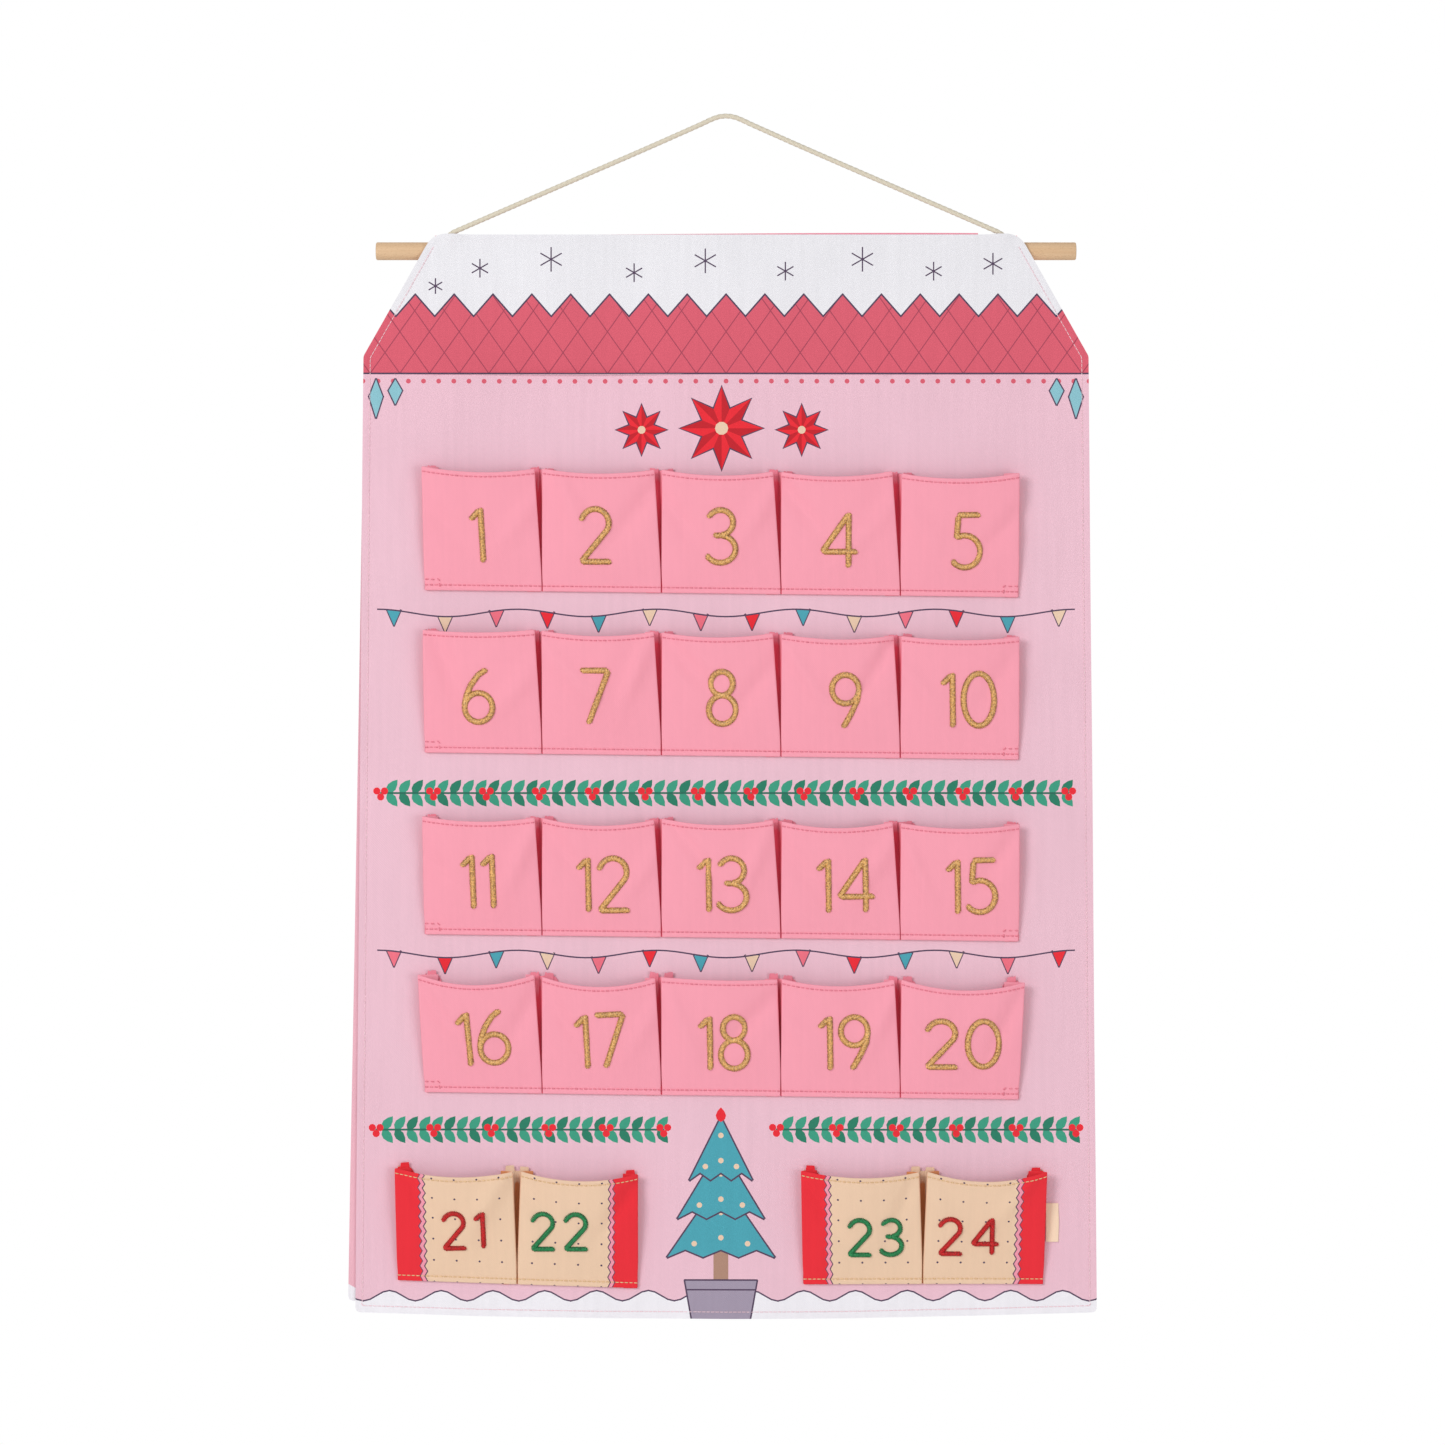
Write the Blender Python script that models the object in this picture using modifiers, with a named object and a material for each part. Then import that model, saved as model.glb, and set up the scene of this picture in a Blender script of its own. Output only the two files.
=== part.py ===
"""Hanging cloth advent calendar: a house-shaped panel with twenty-four pleated pockets, a rod and a cord.

Metres, +Z up, front towards -Y. The origin is the underside of the cord's bend, where a nail or hook
holds it. Every size below can be changed by itself, and the pieces follow it.
"""

import math

import bmesh
import bpy
from mathutils import Vector
from mathutils.geometry import interpolate_bezier

# Cloth, and the small gaps between layers that are sewn together
canvas_thickness = 0.0008
lining_thickness = 0.0006
cotton_thickness = 0.0008
layer_clearance = 0.0003

# Hanging cord
cord_diameter = 0.0034
cord_half_span = 0.183
cord_drop = 0.0763
cord_route_shares = [(0.0, 0.0), (0.035, 0.012), (0.1, 0.08), (0.3, 0.288), (0.65, 0.644), (1.0, 1.0)]
cord_steps_per_stretch = 5
cord_handle_share = 1 / 6

# Rod and the strip of cloth that holds it
rod_diameter = 0.012
rod_length = 0.473
rod_drop = 0.0105
rod_end_round = 0.0008
rod_clearance = 0.0003
rod_sides = 32
casing_length = 0.340
casing_rise = 0.0022
casing_top_seam = 0.0075
casing_bottom_seam = 0.009
casing_allowance = 0.008
casing_arc_steps = 10

# Numbered pockets: four rows of five, from the top edge down
pocket_pitch = 0.0805
pockets_in_row = 5
upper_pocket_height = 0.083
lower_pocket_height = 0.080
first_mouth_drop = 0.1593
narrow_row_gap = 0.0265
wide_row_gap = 0.0425
row_droop = 0.0048

# Window pockets: two pairs below the rows
window_pitch = 0.082
pockets_in_pair = 2
window_pocket_height = 0.077
window_row_gap = 0.050
window_left_margin = 0.0272
window_right_margin = 0.0354
left_window_droop = 0.0055

# Shape of one pocket front and of the pleats beside it
hem_height = 0.004
hem_thickness = 0.0014
fold_clearance = 0.0004
pleat_thickness = 0.0008
pleat_clearance = 0.0004
pleat_depth = 0.0062
pleat_sink_share = 1 / 4
mouth_side_gap = 0.0020
mouth_edge_depth = 0.0080
mouth_centre_depth = 0.0120
mouth_sag = 0.0040
return_share = 0.55
return_tuck = 0.0012
bulge_power = 1.6
front_columns = 6
front_rows = 4

# Panel outline
left_margin = 0.0455
right_margin = 0.052
bottom_margin = 0.0190
bottom_bow = 0.0045
bow_points = 5
shoulder_inset = 0.0055
shoulder_drop = 0.082
top_corner_inset = 0.052
top_corner_radius = 0.014
shoulder_radius = 0.006
bottom_corner_radius = 0.004
corner_steps = 4

# Lining behind the panel, which has slipped a little to the left and is shorter
lining_inset = 0.0008
lining_slip = 0.0050
lining_rise = 0.0075

# Label in the seam beside the last pocket
label_width = 0.0085
label_height = 0.026
label_thickness = 0.0009
label_drop_share = 0.46
label_fold_share = 0.4

# Places that follow from the sizes above
cord_radius = cord_diameter / 2
rod_radius = rod_diameter / 2
hinge_z = -cord_drop
top_z = hinge_z - cord_radius - layer_clearance
panel_front_y = -canvas_thickness / 2
panel_back_y = canvas_thickness / 2
rod_y = panel_back_y + rod_clearance + rod_radius
rod_z = top_z - rod_drop

row_width = pockets_in_row * pocket_pitch
panel_width = left_margin + row_width + right_margin
panel_left = -panel_width / 2
row_left = panel_left + left_margin
pair_width = pockets_in_pair * window_pitch
left_pair_left = panel_left + window_left_margin
right_pair_left = -panel_left - window_right_margin - pair_width

row_heights = [upper_pocket_height, upper_pocket_height, lower_pocket_height, lower_pocket_height]
row_gaps = [narrow_row_gap, wide_row_gap, narrow_row_gap, window_row_gap]
row_mouths = [top_z - first_mouth_drop]
for height, gap in zip(row_heights, row_gaps):
    row_mouths.append(row_mouths[-1] - height - gap)
bottom_z = row_mouths[-1] - window_pocket_height - bottom_margin

hem_y = panel_front_y - layer_clearance - hem_thickness / 2


def clear_scene():
    """Removes what a new file holds."""
    for item in list(bpy.data.objects):
        bpy.data.objects.remove(item, do_unlink=True)


def new_collection(name):
    collection = bpy.data.collections.new(name)
    bpy.context.scene.collection.children.link(collection)
    return collection


def finish(name, colour, roughness):
    """A plain surface finish in the piece's own colour."""
    material = bpy.data.materials.new(name)
    material.use_nodes = True
    surface = material.node_tree.nodes["Principled BSDF"]
    surface.inputs["Base Color"].default_value = (*colour, 1.0)
    surface.inputs["Roughness"].default_value = roughness
    surface.inputs["Metallic"].default_value = 0.0
    return material


def add_piece(name, data, place, colour, roughness, carrier=None):
    """Puts a piece in the calendar at a place in the room, carried by another object if one is named."""
    piece = bpy.data.objects.new(name, data)
    calendar.objects.link(piece)
    data.materials.append(finish(name + "_finish", colour, roughness))
    piece.location = Vector(place)
    if carrier is not None:
        piece.parent = carrier
        piece.location = Vector(place) - carrier.location
    return piece


def add_solidify(piece, thickness, offset):
    layer = piece.modifiers.new("cloth thickness", "SOLIDIFY")
    layer.thickness = thickness
    layer.offset = offset


def rounded_outline(corners):
    """The points of a closed outline whose corners (x, z, radius) are rounded where the radius isn't zero."""
    points = []
    for index, (x, z, radius) in enumerate(corners):
        here = Vector((x, z))
        if radius == 0:
            points.append(here)
            continue
        before = (Vector(corners[index - 1][:2]) - here).normalized()
        after = (Vector(corners[(index + 1) % len(corners)][:2]) - here).normalized()
        half_angle = before.angle(after) / 2
        reach = radius / math.tan(half_angle)
        centre = here + (before + after).normalized() * (radius / math.sin(half_angle))
        start = here + before * reach - centre
        end = here + after * reach - centre
        turn = start.angle_signed(end)
        for step in range(corner_steps + 1):
            angle = -turn * step / corner_steps
            spun = Vector((start.x * math.cos(angle) - start.y * math.sin(angle),
                           start.x * math.sin(angle) + start.y * math.cos(angle)))
            points.append(centre + spun)
    return points


def flat_cloth(name, outline, thickness):
    """A flat layer of cloth: an outline in X and Z, filled, with its thickness along Y."""
    curve = bpy.data.curves.new(name, "CURVE")
    curve.dimensions = "2D"
    curve.fill_mode = "BOTH"
    curve.extrude = thickness / 2
    spline = curve.splines.new("POLY")
    spline.points.add(len(outline) - 1)
    for point, place in zip(spline.points, outline):
        point.co = (place.x, place.y, 0.0, 1.0)
    spline.use_cyclic_u = True
    return curve


def bottom_edge(left, right, level):
    """The inner points of a bottom edge that hangs lower in its middle, from right to left."""
    middle = (left + right) / 2
    half = (right - left) / 2
    points = []
    for index in range(1, bow_points + 1):
        share = 1 - 2 * index / (bow_points + 1)
        points.append((middle + half * share, level - bottom_bow * (1 - share * share), 0.0))
    return points


def make_front_panel():
    """The printed canvas, cut like a house with sloping shoulders."""
    half_base = panel_width / 2
    half_shoulder = half_base - shoulder_inset
    half_top = half_base - top_corner_inset
    corners = [
        (half_top, top_z, top_corner_radius),
        (half_shoulder, top_z - shoulder_drop, shoulder_radius),
        (half_base, bottom_z, bottom_corner_radius),
        *bottom_edge(-half_base, half_base, bottom_z),
        (-half_base, bottom_z, bottom_corner_radius),
        (-half_shoulder, top_z - shoulder_drop, shoulder_radius),
        (-half_top, top_z, top_corner_radius),
    ]
    curve = flat_cloth("front_panel", rounded_outline(corners), canvas_thickness)
    piece = add_piece("front_panel", curve, (0, 0, 0), (0.83, 0.53, 0.62), 0.9, panel_pivot)
    piece.rotation_euler.x = math.pi / 2


def casing_route():
    """The middle of the casing's cloth, seen from the side: down the seam, round the rod, down the seam."""
    flat_y = panel_back_y + layer_clearance + cotton_thickness / 2
    radius = rod_radius + rod_clearance + cotton_thickness / 2
    centre = Vector((rod_y, rod_z))
    route = [Vector((flat_y, top_z + casing_rise))]
    bends = []
    for offset, side in ((casing_top_seam, 1), (-casing_bottom_seam, -1)):
        seam = Vector((flat_y, rod_z + offset))
        to_seam = seam - centre
        lean = math.acos(radius / to_seam.length)
        bends.append((seam, math.atan2(to_seam.y, to_seam.x) - side * lean))
    (upper_seam, first_angle), (lower_seam, last_angle) = bends
    last_angle = last_angle - 2 * math.pi if last_angle > first_angle else last_angle
    route.append(upper_seam)
    for step in range(casing_arc_steps + 1):
        angle = first_angle + (last_angle - first_angle) * step / casing_arc_steps
        route.append(centre + radius * Vector((math.cos(angle), math.sin(angle))))
    route.append(lower_seam)
    route.append(Vector((flat_y, lower_seam.y - casing_allowance)))
    return route


def make_casing(route):
    """The cotton strip sewn to the panel's back above and below the rod."""
    body = bmesh.new()
    near = [body.verts.new((-casing_length / 2, point.x, point.y)) for point in route]
    edges = [body.edges.new(pair) for pair in zip(near, near[1:])]
    grown = bmesh.ops.extrude_edge_only(body, edges=edges)["geom"]
    moved = [item for item in grown if isinstance(item, bmesh.types.BMVert)]
    bmesh.ops.translate(body, verts=moved, vec=(casing_length, 0, 0))
    mesh = bpy.data.meshes.new("rod_casing")
    body.to_mesh(mesh)
    body.free()
    piece = add_piece("rod_casing", mesh, (0, 0, 0), (0.84, 0.40, 0.48), 0.9, panel_pivot)
    piece.location = -panel_pivot.location
    add_solidify(piece, cotton_thickness, 0.0)


def make_lining(casing_foot):
    """The plain cotton backing, from the casing down, seen at the left where it has slipped."""
    half_base = panel_width / 2
    half_shoulder = half_base - shoulder_inset - lining_inset
    head_z = casing_foot - layer_clearance
    down_share = (top_z - head_z) / shoulder_drop
    half_head = half_base - top_corner_inset + (top_corner_inset - shoulder_inset) * down_share - lining_inset
    foot_z = bottom_z + lining_rise
    left_foot = -half_base - lining_slip
    right_foot = half_base - lining_slip
    corners = [
        (half_head, head_z, 0.0),
        (half_shoulder, top_z - shoulder_drop, shoulder_radius),
        (right_foot, foot_z, bottom_corner_radius),
        *bottom_edge(left_foot, right_foot, foot_z),
        (left_foot, foot_z, bottom_corner_radius),
        (-half_shoulder, top_z - shoulder_drop, shoulder_radius),
        (-half_head, head_z, 0.0),
    ]
    curve = flat_cloth("back_lining", rounded_outline(corners), lining_thickness)
    middle_y = panel_back_y + layer_clearance + lining_thickness / 2
    piece = add_piece("back_lining", curve, (0, middle_y, 0), (0.86, 0.47, 0.56), 0.9, panel_pivot)
    piece.rotation_euler.x = math.pi / 2


def make_rod():
    """The wooden dowel that keeps the top edge straight."""
    body = bmesh.new()
    bmesh.ops.create_cone(body, cap_ends=True, segments=rod_sides, radius1=rod_radius,
                          radius2=rod_radius, depth=rod_length)
    mesh = bpy.data.meshes.new("rod")
    body.to_mesh(mesh)
    body.free()
    piece = add_piece("rod", mesh, (0, rod_y, rod_z), (0.74, 0.49, 0.28), 0.55, panel_pivot)
    piece.rotation_euler.y = math.pi / 2
    rounding = piece.modifiers.new("rounded ends", "BEVEL")
    rounding.width = rod_end_round
    rounding.segments = 2
    rounding.limit_method = "ANGLE"
    mesh.shade_smooth()
    mesh.set_sharp_from_angle(angle=math.radians(35))


def cord_points():
    """The cord's centre line from its left end over the bend to its right end."""
    half = [Vector((x * cord_half_span, 0, cord_radius - z * (cord_drop + cord_radius)))
            for x, z in cord_route_shares]
    knots = [Vector((-point.x, 0, point.z)) for point in reversed(half[1:])] + half
    points = []
    for index in range(len(knots) - 1):
        start, end = knots[index], knots[index + 1]
        before = knots[index - 1] if index else start - (end - start)
        after = knots[index + 2] if index + 2 < len(knots) else end + (end - start)
        reach = (end - start).length * 2 * cord_handle_share
        start_handle = start + (end - before).normalized() * reach
        end_handle = end - (after - start).normalized() * reach
        stretch = interpolate_bezier(start, start_handle, end_handle, end, cord_steps_per_stretch + 1)
        points.extend(stretch[:-1])
    points.append(knots[-1])
    return points


def make_cord():
    """The cotton cord, hung on a nail at its middle and sewn into the top seam near both corners."""
    curve = bpy.data.curves.new("hanging_cord", "CURVE")
    curve.dimensions = "3D"
    curve.bevel_depth = cord_radius
    curve.bevel_resolution = 2
    curve.use_fill_caps = True
    points = cord_points()
    spline = curve.splines.new("POLY")
    spline.points.add(len(points) - 1)
    for point, place in zip(spline.points, points):
        point.co = (*place, 1.0)
    add_piece("hanging_cord", curve, (0, 0, 0), (0.72, 0.65, 0.52), 0.9)


def pocket_place(column, row, half_pitch, tall, droop_slope):
    """The place on a pocket front of one point of its grid, measured from the middle of its bottom fold.

    Columns run from the back edge of the left return, across the front, to the back edge of the right one.
    """
    returned = max(0.0, 1 - column, column - 1 - front_columns)
    across = min(max((column - 1) / front_columns, 0.0), 1.0)
    crown = 1 - (2 * across - 1) ** 2
    grown = 1 - (1 - row) ** bulge_power
    fold_gap = pleat_thickness / 2 + pleat_clearance
    half_width = half_pitch - fold_gap - (mouth_side_gap - fold_gap) * row
    x = half_width * (2 * across - 1)
    x -= math.copysign(return_tuck * returned * row, x)
    depth = mouth_edge_depth + (mouth_centre_depth - mouth_edge_depth) * crown
    y = -cotton_thickness / 2 - depth * grown * (1 - return_share * returned)
    z = (tall - mouth_sag * crown) * row
    return Vector((x, y, z - droop_slope * x))


def make_pocket(number, middle_x, middle_z, half_pitch, height, droop_slope, colour):
    """One pocket front with its two side returns. It opens about its bottom fold."""
    name = f"pocket_{number:02d}"
    tall = height - hem_height - fold_clearance
    columns = front_columns + 2
    body = bmesh.new()
    bmesh.ops.create_grid(body, x_segments=columns, y_segments=front_rows, size=1)
    for vertex in body.verts:
        column = (vertex.co.x + 1) / 2 * columns
        row = (vertex.co.y + 1) / 2
        vertex.co = pocket_place(column, row, half_pitch, tall, droop_slope)
    bmesh.ops.remove_doubles(body, verts=body.verts, dist=layer_clearance / 10)
    mesh = bpy.data.meshes.new(name)
    body.to_mesh(mesh)
    body.free()
    fold_z = middle_z - height + hem_height + fold_clearance
    piece = add_piece(name, mesh, (middle_x, hem_y, fold_z), colour, 0.9, panel_pivot)
    add_solidify(piece, cotton_thickness, -1.0)


def add_block(body, low, high):
    """A block between two corners, and its new corner points."""
    points = bmesh.ops.create_cube(body, size=1)["verts"]
    middle = (low + high) / 2
    reach = high - low
    for vertex in points:
        vertex.co = middle + Vector((vertex.co.x * reach.x, vertex.co.y * reach.y, vertex.co.z * reach.z))
    return points


def make_hem(name, left, pitch, count, mouth_z, height, droop_slope, colour):
    """The sewn foot of a row, with the pleat that stands up on each seam between two pockets."""
    width = pitch * count
    middle_x = left + width / 2
    foot_z = mouth_z - height
    half_hem = hem_thickness / 2
    sunk_half = half_hem * (1 - pleat_sink_share)
    hem = bmesh.new()
    add_block(hem, Vector((-width / 2 - pleat_thickness, -half_hem, foot_z)),
              Vector((width / 2 + pleat_thickness, half_hem, foot_z + hem_height)))
    pleats = bmesh.new()
    for index in range(count + 1):
        x = -width / 2 + pitch * index
        corners = add_block(pleats, Vector((x - pleat_thickness / 2, -sunk_half, foot_z + hem_height / 2)),
                            Vector((x + pleat_thickness / 2, sunk_half, mouth_z)))
        for corner in corners:
            if corner.co.y < 0 and corner.co.z > foot_z + height / 2:
                corner.co.y = sunk_half - pleat_depth
    meshes = []
    for part_name, body in ((name, hem), (name + "_pleats", pleats)):
        for vertex in body.verts:
            vertex.co.z -= droop_slope * vertex.co.x
        mesh = bpy.data.meshes.new(part_name)
        body.to_mesh(mesh)
        body.free()
        meshes.append(mesh)
    piece = add_piece(name, meshes[0], (middle_x, hem_y, 0), colour, 0.9, panel_pivot)
    joiner = bpy.data.objects.new(name + "_pleats", meshes[1])
    joiners.objects.link(joiner)
    joiner.parent = panel_pivot
    joiner.location = piece.location
    joiner.hide_render = True
    joiner.display_type = "WIRE"
    union = piece.modifiers.new("standing pleats", "BOOLEAN")
    union.operation = "UNION"
    union.solver = "EXACT"
    union.object = joiner


def make_row(name, first_number, left, pitch, count, mouth_z, height, droop, colour):
    """A row of pocket fronts and the hem that carries them."""
    droop_slope = droop / (pitch * count)
    make_hem(name, left, pitch, count, mouth_z, height, droop_slope, colour)
    for index in range(count):
        from_middle = pitch * (index - (count - 1) / 2)
        middle_x = left + pitch * (index + 1 / 2)
        middle_z = mouth_z - droop_slope * from_middle
        make_pocket(first_number + index, middle_x, middle_z, pitch / 2, height, droop_slope, colour)


def make_label():
    """The blank folded label, sewn in beside the last pocket and free at its folded edge."""
    seam_x = right_pair_left + pair_width + pleat_thickness / 2 + pleat_clearance + label_thickness / 2
    middle_z = row_mouths[-1] - label_drop_share * window_pocket_height
    body = bmesh.new()
    add_block(body, Vector((0, -label_thickness / 2, -label_height / 2)),
              Vector((label_width, label_thickness / 2, label_height / 2)))
    folded = [edge for edge in body.edges if all(vertex.co.x > label_width / 2 for vertex in edge.verts)
              and abs(edge.verts[0].co.z - edge.verts[1].co.z) > label_height / 2]
    bmesh.ops.bevel(body, geom=folded, offset=label_thickness * label_fold_share, segments=2,
                    profile=0.5, affect="EDGES")
    mesh = bpy.data.meshes.new("side_label")
    body.to_mesh(mesh)
    body.free()
    middle_y = panel_front_y - layer_clearance - label_thickness / 2
    add_piece("side_label", mesh, (seam_x, middle_y, middle_z), (0.68, 0.46, 0.34), 0.85, panel_pivot)


clear_scene()
calendar = new_collection("advent_calendar")
joiners = new_collection("joiners")

panel_pivot = bpy.data.objects.new("panel_pivot", None)
panel_pivot.location = (0, 0, hinge_z)
calendar.objects.link(panel_pivot)

make_cord()
make_rod()
casing = casing_route()
make_casing(casing)
make_lining(casing[-1].y)
make_front_panel()

pink = (0.93, 0.36, 0.46)
cream = (0.82, 0.56, 0.40)
for index in range(len(row_heights)):
    make_row(f"row_{index + 1}_hem", 1 + index * pockets_in_row, row_left, pocket_pitch, pockets_in_row,
             row_mouths[index], row_heights[index], row_droop, pink)
first_window = 1 + len(row_heights) * pockets_in_row
make_row("left_window_hem", first_window, left_pair_left, window_pitch, pockets_in_pair, row_mouths[-1],
         window_pocket_height, left_window_droop, cream)
make_row("right_window_hem", first_window + pockets_in_pair, right_pair_left, window_pitch, pockets_in_pair,
         row_mouths[-1], window_pocket_height, 0.0, cream)
make_label()
bpy.context.view_layer.update()
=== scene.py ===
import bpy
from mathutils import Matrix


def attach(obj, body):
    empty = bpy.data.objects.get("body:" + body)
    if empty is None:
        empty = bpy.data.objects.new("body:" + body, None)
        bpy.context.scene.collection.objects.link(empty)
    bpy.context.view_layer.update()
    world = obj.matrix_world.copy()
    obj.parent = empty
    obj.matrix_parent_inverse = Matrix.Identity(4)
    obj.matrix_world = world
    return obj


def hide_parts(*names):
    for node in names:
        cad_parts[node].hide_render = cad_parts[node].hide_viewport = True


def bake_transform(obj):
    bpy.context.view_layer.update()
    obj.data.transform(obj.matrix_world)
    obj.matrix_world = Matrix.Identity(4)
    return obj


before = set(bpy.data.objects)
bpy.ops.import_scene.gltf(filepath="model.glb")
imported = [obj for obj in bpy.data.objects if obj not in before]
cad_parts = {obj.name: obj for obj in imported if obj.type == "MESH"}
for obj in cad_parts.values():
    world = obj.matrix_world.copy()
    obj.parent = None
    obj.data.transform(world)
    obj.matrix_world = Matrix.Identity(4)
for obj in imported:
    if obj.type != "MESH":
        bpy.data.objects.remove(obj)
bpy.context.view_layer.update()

import itertools
import math
import random
import types

import bmesh
import bpy
from mathutils import Matrix, Vector
from mathutils.geometry import delaunay_2d_cdt, interpolate_bezier

# Camera. The photograph looks straight at the cloth with a long lens, and 975 mm of the cloth's
# plane fill its width. It is unturned, level with the middle of the picture.
camera_data = bpy.data.cameras.new("long_lens")
camera_data.lens = 110.8
camera_data.sensor_width = 36.0
camera = bpy.data.objects.new("camera", camera_data)
camera.location = (-0.0024, -3.0, -0.4074)
camera.rotation_euler = (math.pi / 2, 0, 0)
bpy.context.scene.collection.objects.link(camera)
bpy.context.scene.camera = camera


# Hanging cord. Three loosely twisted strands of undyed cotton, in one piece, bent over a nail at its
# middle. Each end goes over the top edge and is caught between the canvas and a tab behind it.
def ink(code):
    """A colour written as sRGB hex, in the linear values that Blender's sockets take."""
    shares = [int(code[place:place + 2], 16) / 255 for place in (1, 3, 5)]
    return (*[c / 12.92 if c <= 0.04045 else ((c + 0.055) / 1.055) ** 2.4 for c in shares], 1.0)


def wire(item, inputs):
    """Sets a node's inputs, or links them where the value is a node or a socket."""
    for name, value in inputs.items():
        if isinstance(value, bpy.types.Node):
            value = next(socket for socket in value.outputs if socket.enabled)
        if isinstance(value, bpy.types.NodeSocket):
            item.id_data.links.new(value, item.inputs[name])
        else:
            item.inputs[name].default_value = value


def add(tree, kind, inputs=None, **settings):
    """Adds one node with its settings, and sets or links its inputs."""
    item = tree.nodes.new(kind if "Node" in kind else "ShaderNode" + kind)
    for name, value in settings.items():
        setattr(item, name, value)
    wire(item, inputs or {})
    return item


def new_finish(name, colour, roughness, **sockets):
    """A material for one real surface, whose constants go straight on the shader's sockets."""
    material = bpy.data.materials.new(name)
    material.use_nodes = True
    shader = material.node_tree.nodes["Principled BSDF"]
    wire(shader, {"Base Color": ink(colour), "Roughness": roughness})
    wire(shader, {socket.replace("_", " "): value for socket, value in sockets.items()})
    return material, material.node_tree, shader


def made(name, work):
    """Turns a bmesh into a mesh."""
    mesh = bpy.data.meshes.new(name)
    work.to_mesh(mesh)
    work.free()
    return mesh


def place_in_room(name, mesh, *finishes):
    """Makes a mesh an object at the origin, smooth, with its materials."""
    piece = bpy.data.objects.new(name, mesh)
    bpy.context.scene.collection.objects.link(piece)
    for finish in finishes:
        mesh.materials.append(finish)
    mesh.shade_smooth()
    return piece


def settle(piece, sharp=None):
    """Turns a piece and its modifiers into a plain mesh, with its edges sharp above an angle in degrees."""
    graph = bpy.context.evaluated_depsgraph_get()
    mesh = bpy.data.meshes.new_from_object(piece.evaluated_get(graph), depsgraph=graph)
    piece.modifiers.clear()
    piece.data = mesh
    mesh.shade_smooth()
    if sharp is not None:
        mesh.set_sharp_from_angle(angle=math.radians(sharp))


def running_lengths(places):
    """How far along a line each of its places lies."""
    steps = [(end - start).length for start, end in zip(places, places[1:])]
    return list(itertools.accumulate(steps, initial=0.0))


cord_diameter = 0.0034
cord_half_span = 0.183
cord_drop = 0.0763
cord_shares = [(0.0, 0.0), (0.035, 0.012), (0.1, 0.08), (0.3, 0.288), (0.65, 0.644), (1.0, 1.0)]
right_half = [Vector((x * cord_half_span, 0, cord_diameter / 2 - z * (cord_drop + cord_diameter / 2)))
              for x, z in cord_shares]
knots = [Vector((-knot.x, 0, knot.z)) for knot in reversed(right_half[1:])] + right_half
cord_line = []
for index, (start, end) in enumerate(zip(knots, knots[1:])):
    before = knots[index - 1] if index else start - (end - start)
    after = knots[index + 2] if index + 2 < len(knots) else end + (end - start)
    reach = (end - start).length / 3
    start_handle = start + (end - before).normalized() * reach
    end_handle = end - (after - start).normalized() * reach
    cord_line += interpolate_bezier(start, start_handle, end_handle, end, 6)[:-1]
cord_line.append(knots[-1])
tucked = [Vector((0.1857, 0.0004, -0.0777)), Vector((0.1877, 0.0012, -0.0795)),
          Vector((0.1891, 0.0019, -0.0815)), Vector((0.1899, 0.0022, -0.0835))]
cord_line = [Vector((-p.x, p.y, p.z)) for p in reversed(tucked)] + cord_line + tucked

walked = running_lengths(cord_line)
cord_length = walked[-1]
ring_count = 540
ring_sides = 18
strand_lay = 0.0115


def reached(rings_made):
    """How far along the cord a number of rings reaches."""
    return rings_made * cord_length / (ring_count - 1)


ring_spots = []
for start, end, near, far in zip(cord_line, cord_line[1:], walked, walked[1:]):
    while reached(len(ring_spots)) <= far + 1e-9:
        ring_spots.append(start.lerp(end, (reached(len(ring_spots)) - near) / (end - start).length))
# Smoothing the spots keeps a ring from leaning at the knots of the route.
for _ in range(6):
    between = [(a + 2 * b + c) / 4 for a, b, c in zip(ring_spots, ring_spots[1:], ring_spots[2:])]
    ring_spots = ring_spots[:1] + between + ring_spots[-1:]
twisted = bmesh.new()
strand_map = twisted.loops.layers.uv.new("strands")
rings = []
for index, spot in enumerate(ring_spots):
    along = (ring_spots[min(index + 1, ring_count - 1)] - ring_spots[max(index - 1, 0)]).normalized()
    side = Vector((0, 1, 0)).cross(along).normalized()
    front = along.cross(side)
    twist = 2 * math.pi * reached(index) / strand_lay
    taper = 0.72 + 0.28 * min(1.0, reached(min(index, ring_count - 1 - index)) / 0.003)
    ring = []
    for corner in range(ring_sides):
        angle = 2 * math.pi * corner / ring_sides
        lobe = abs(math.cos(1.5 * (angle - twist))) ** 0.75
        radius = cord_diameter / 2 * taper * (0.76 + 0.26 * lobe)
        ring.append(twisted.verts.new(spot + radius * (math.cos(angle) * side + math.sin(angle) * front)))
    rings.append(ring)
for index, (low, high) in enumerate(zip(rings, rings[1:])):
    for corner in range(ring_sides):
        turned = (corner + 1) % ring_sides
        face = twisted.faces.new((low[corner], high[corner], high[turned], low[turned]))
        for loop, (around, step) in zip(face.loops, ((0, 0), (0, 1), (1, 1), (1, 0))):
            loop[strand_map].uv = ((corner + around) / ring_sides - reached(index) / strand_lay,
                                   reached(index + step))
twisted.faces.new(rings[0])
twisted.faces.new(reversed(rings[-1]))
bmesh.ops.recalc_face_normals(twisted, faces=twisted.faces)

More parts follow.
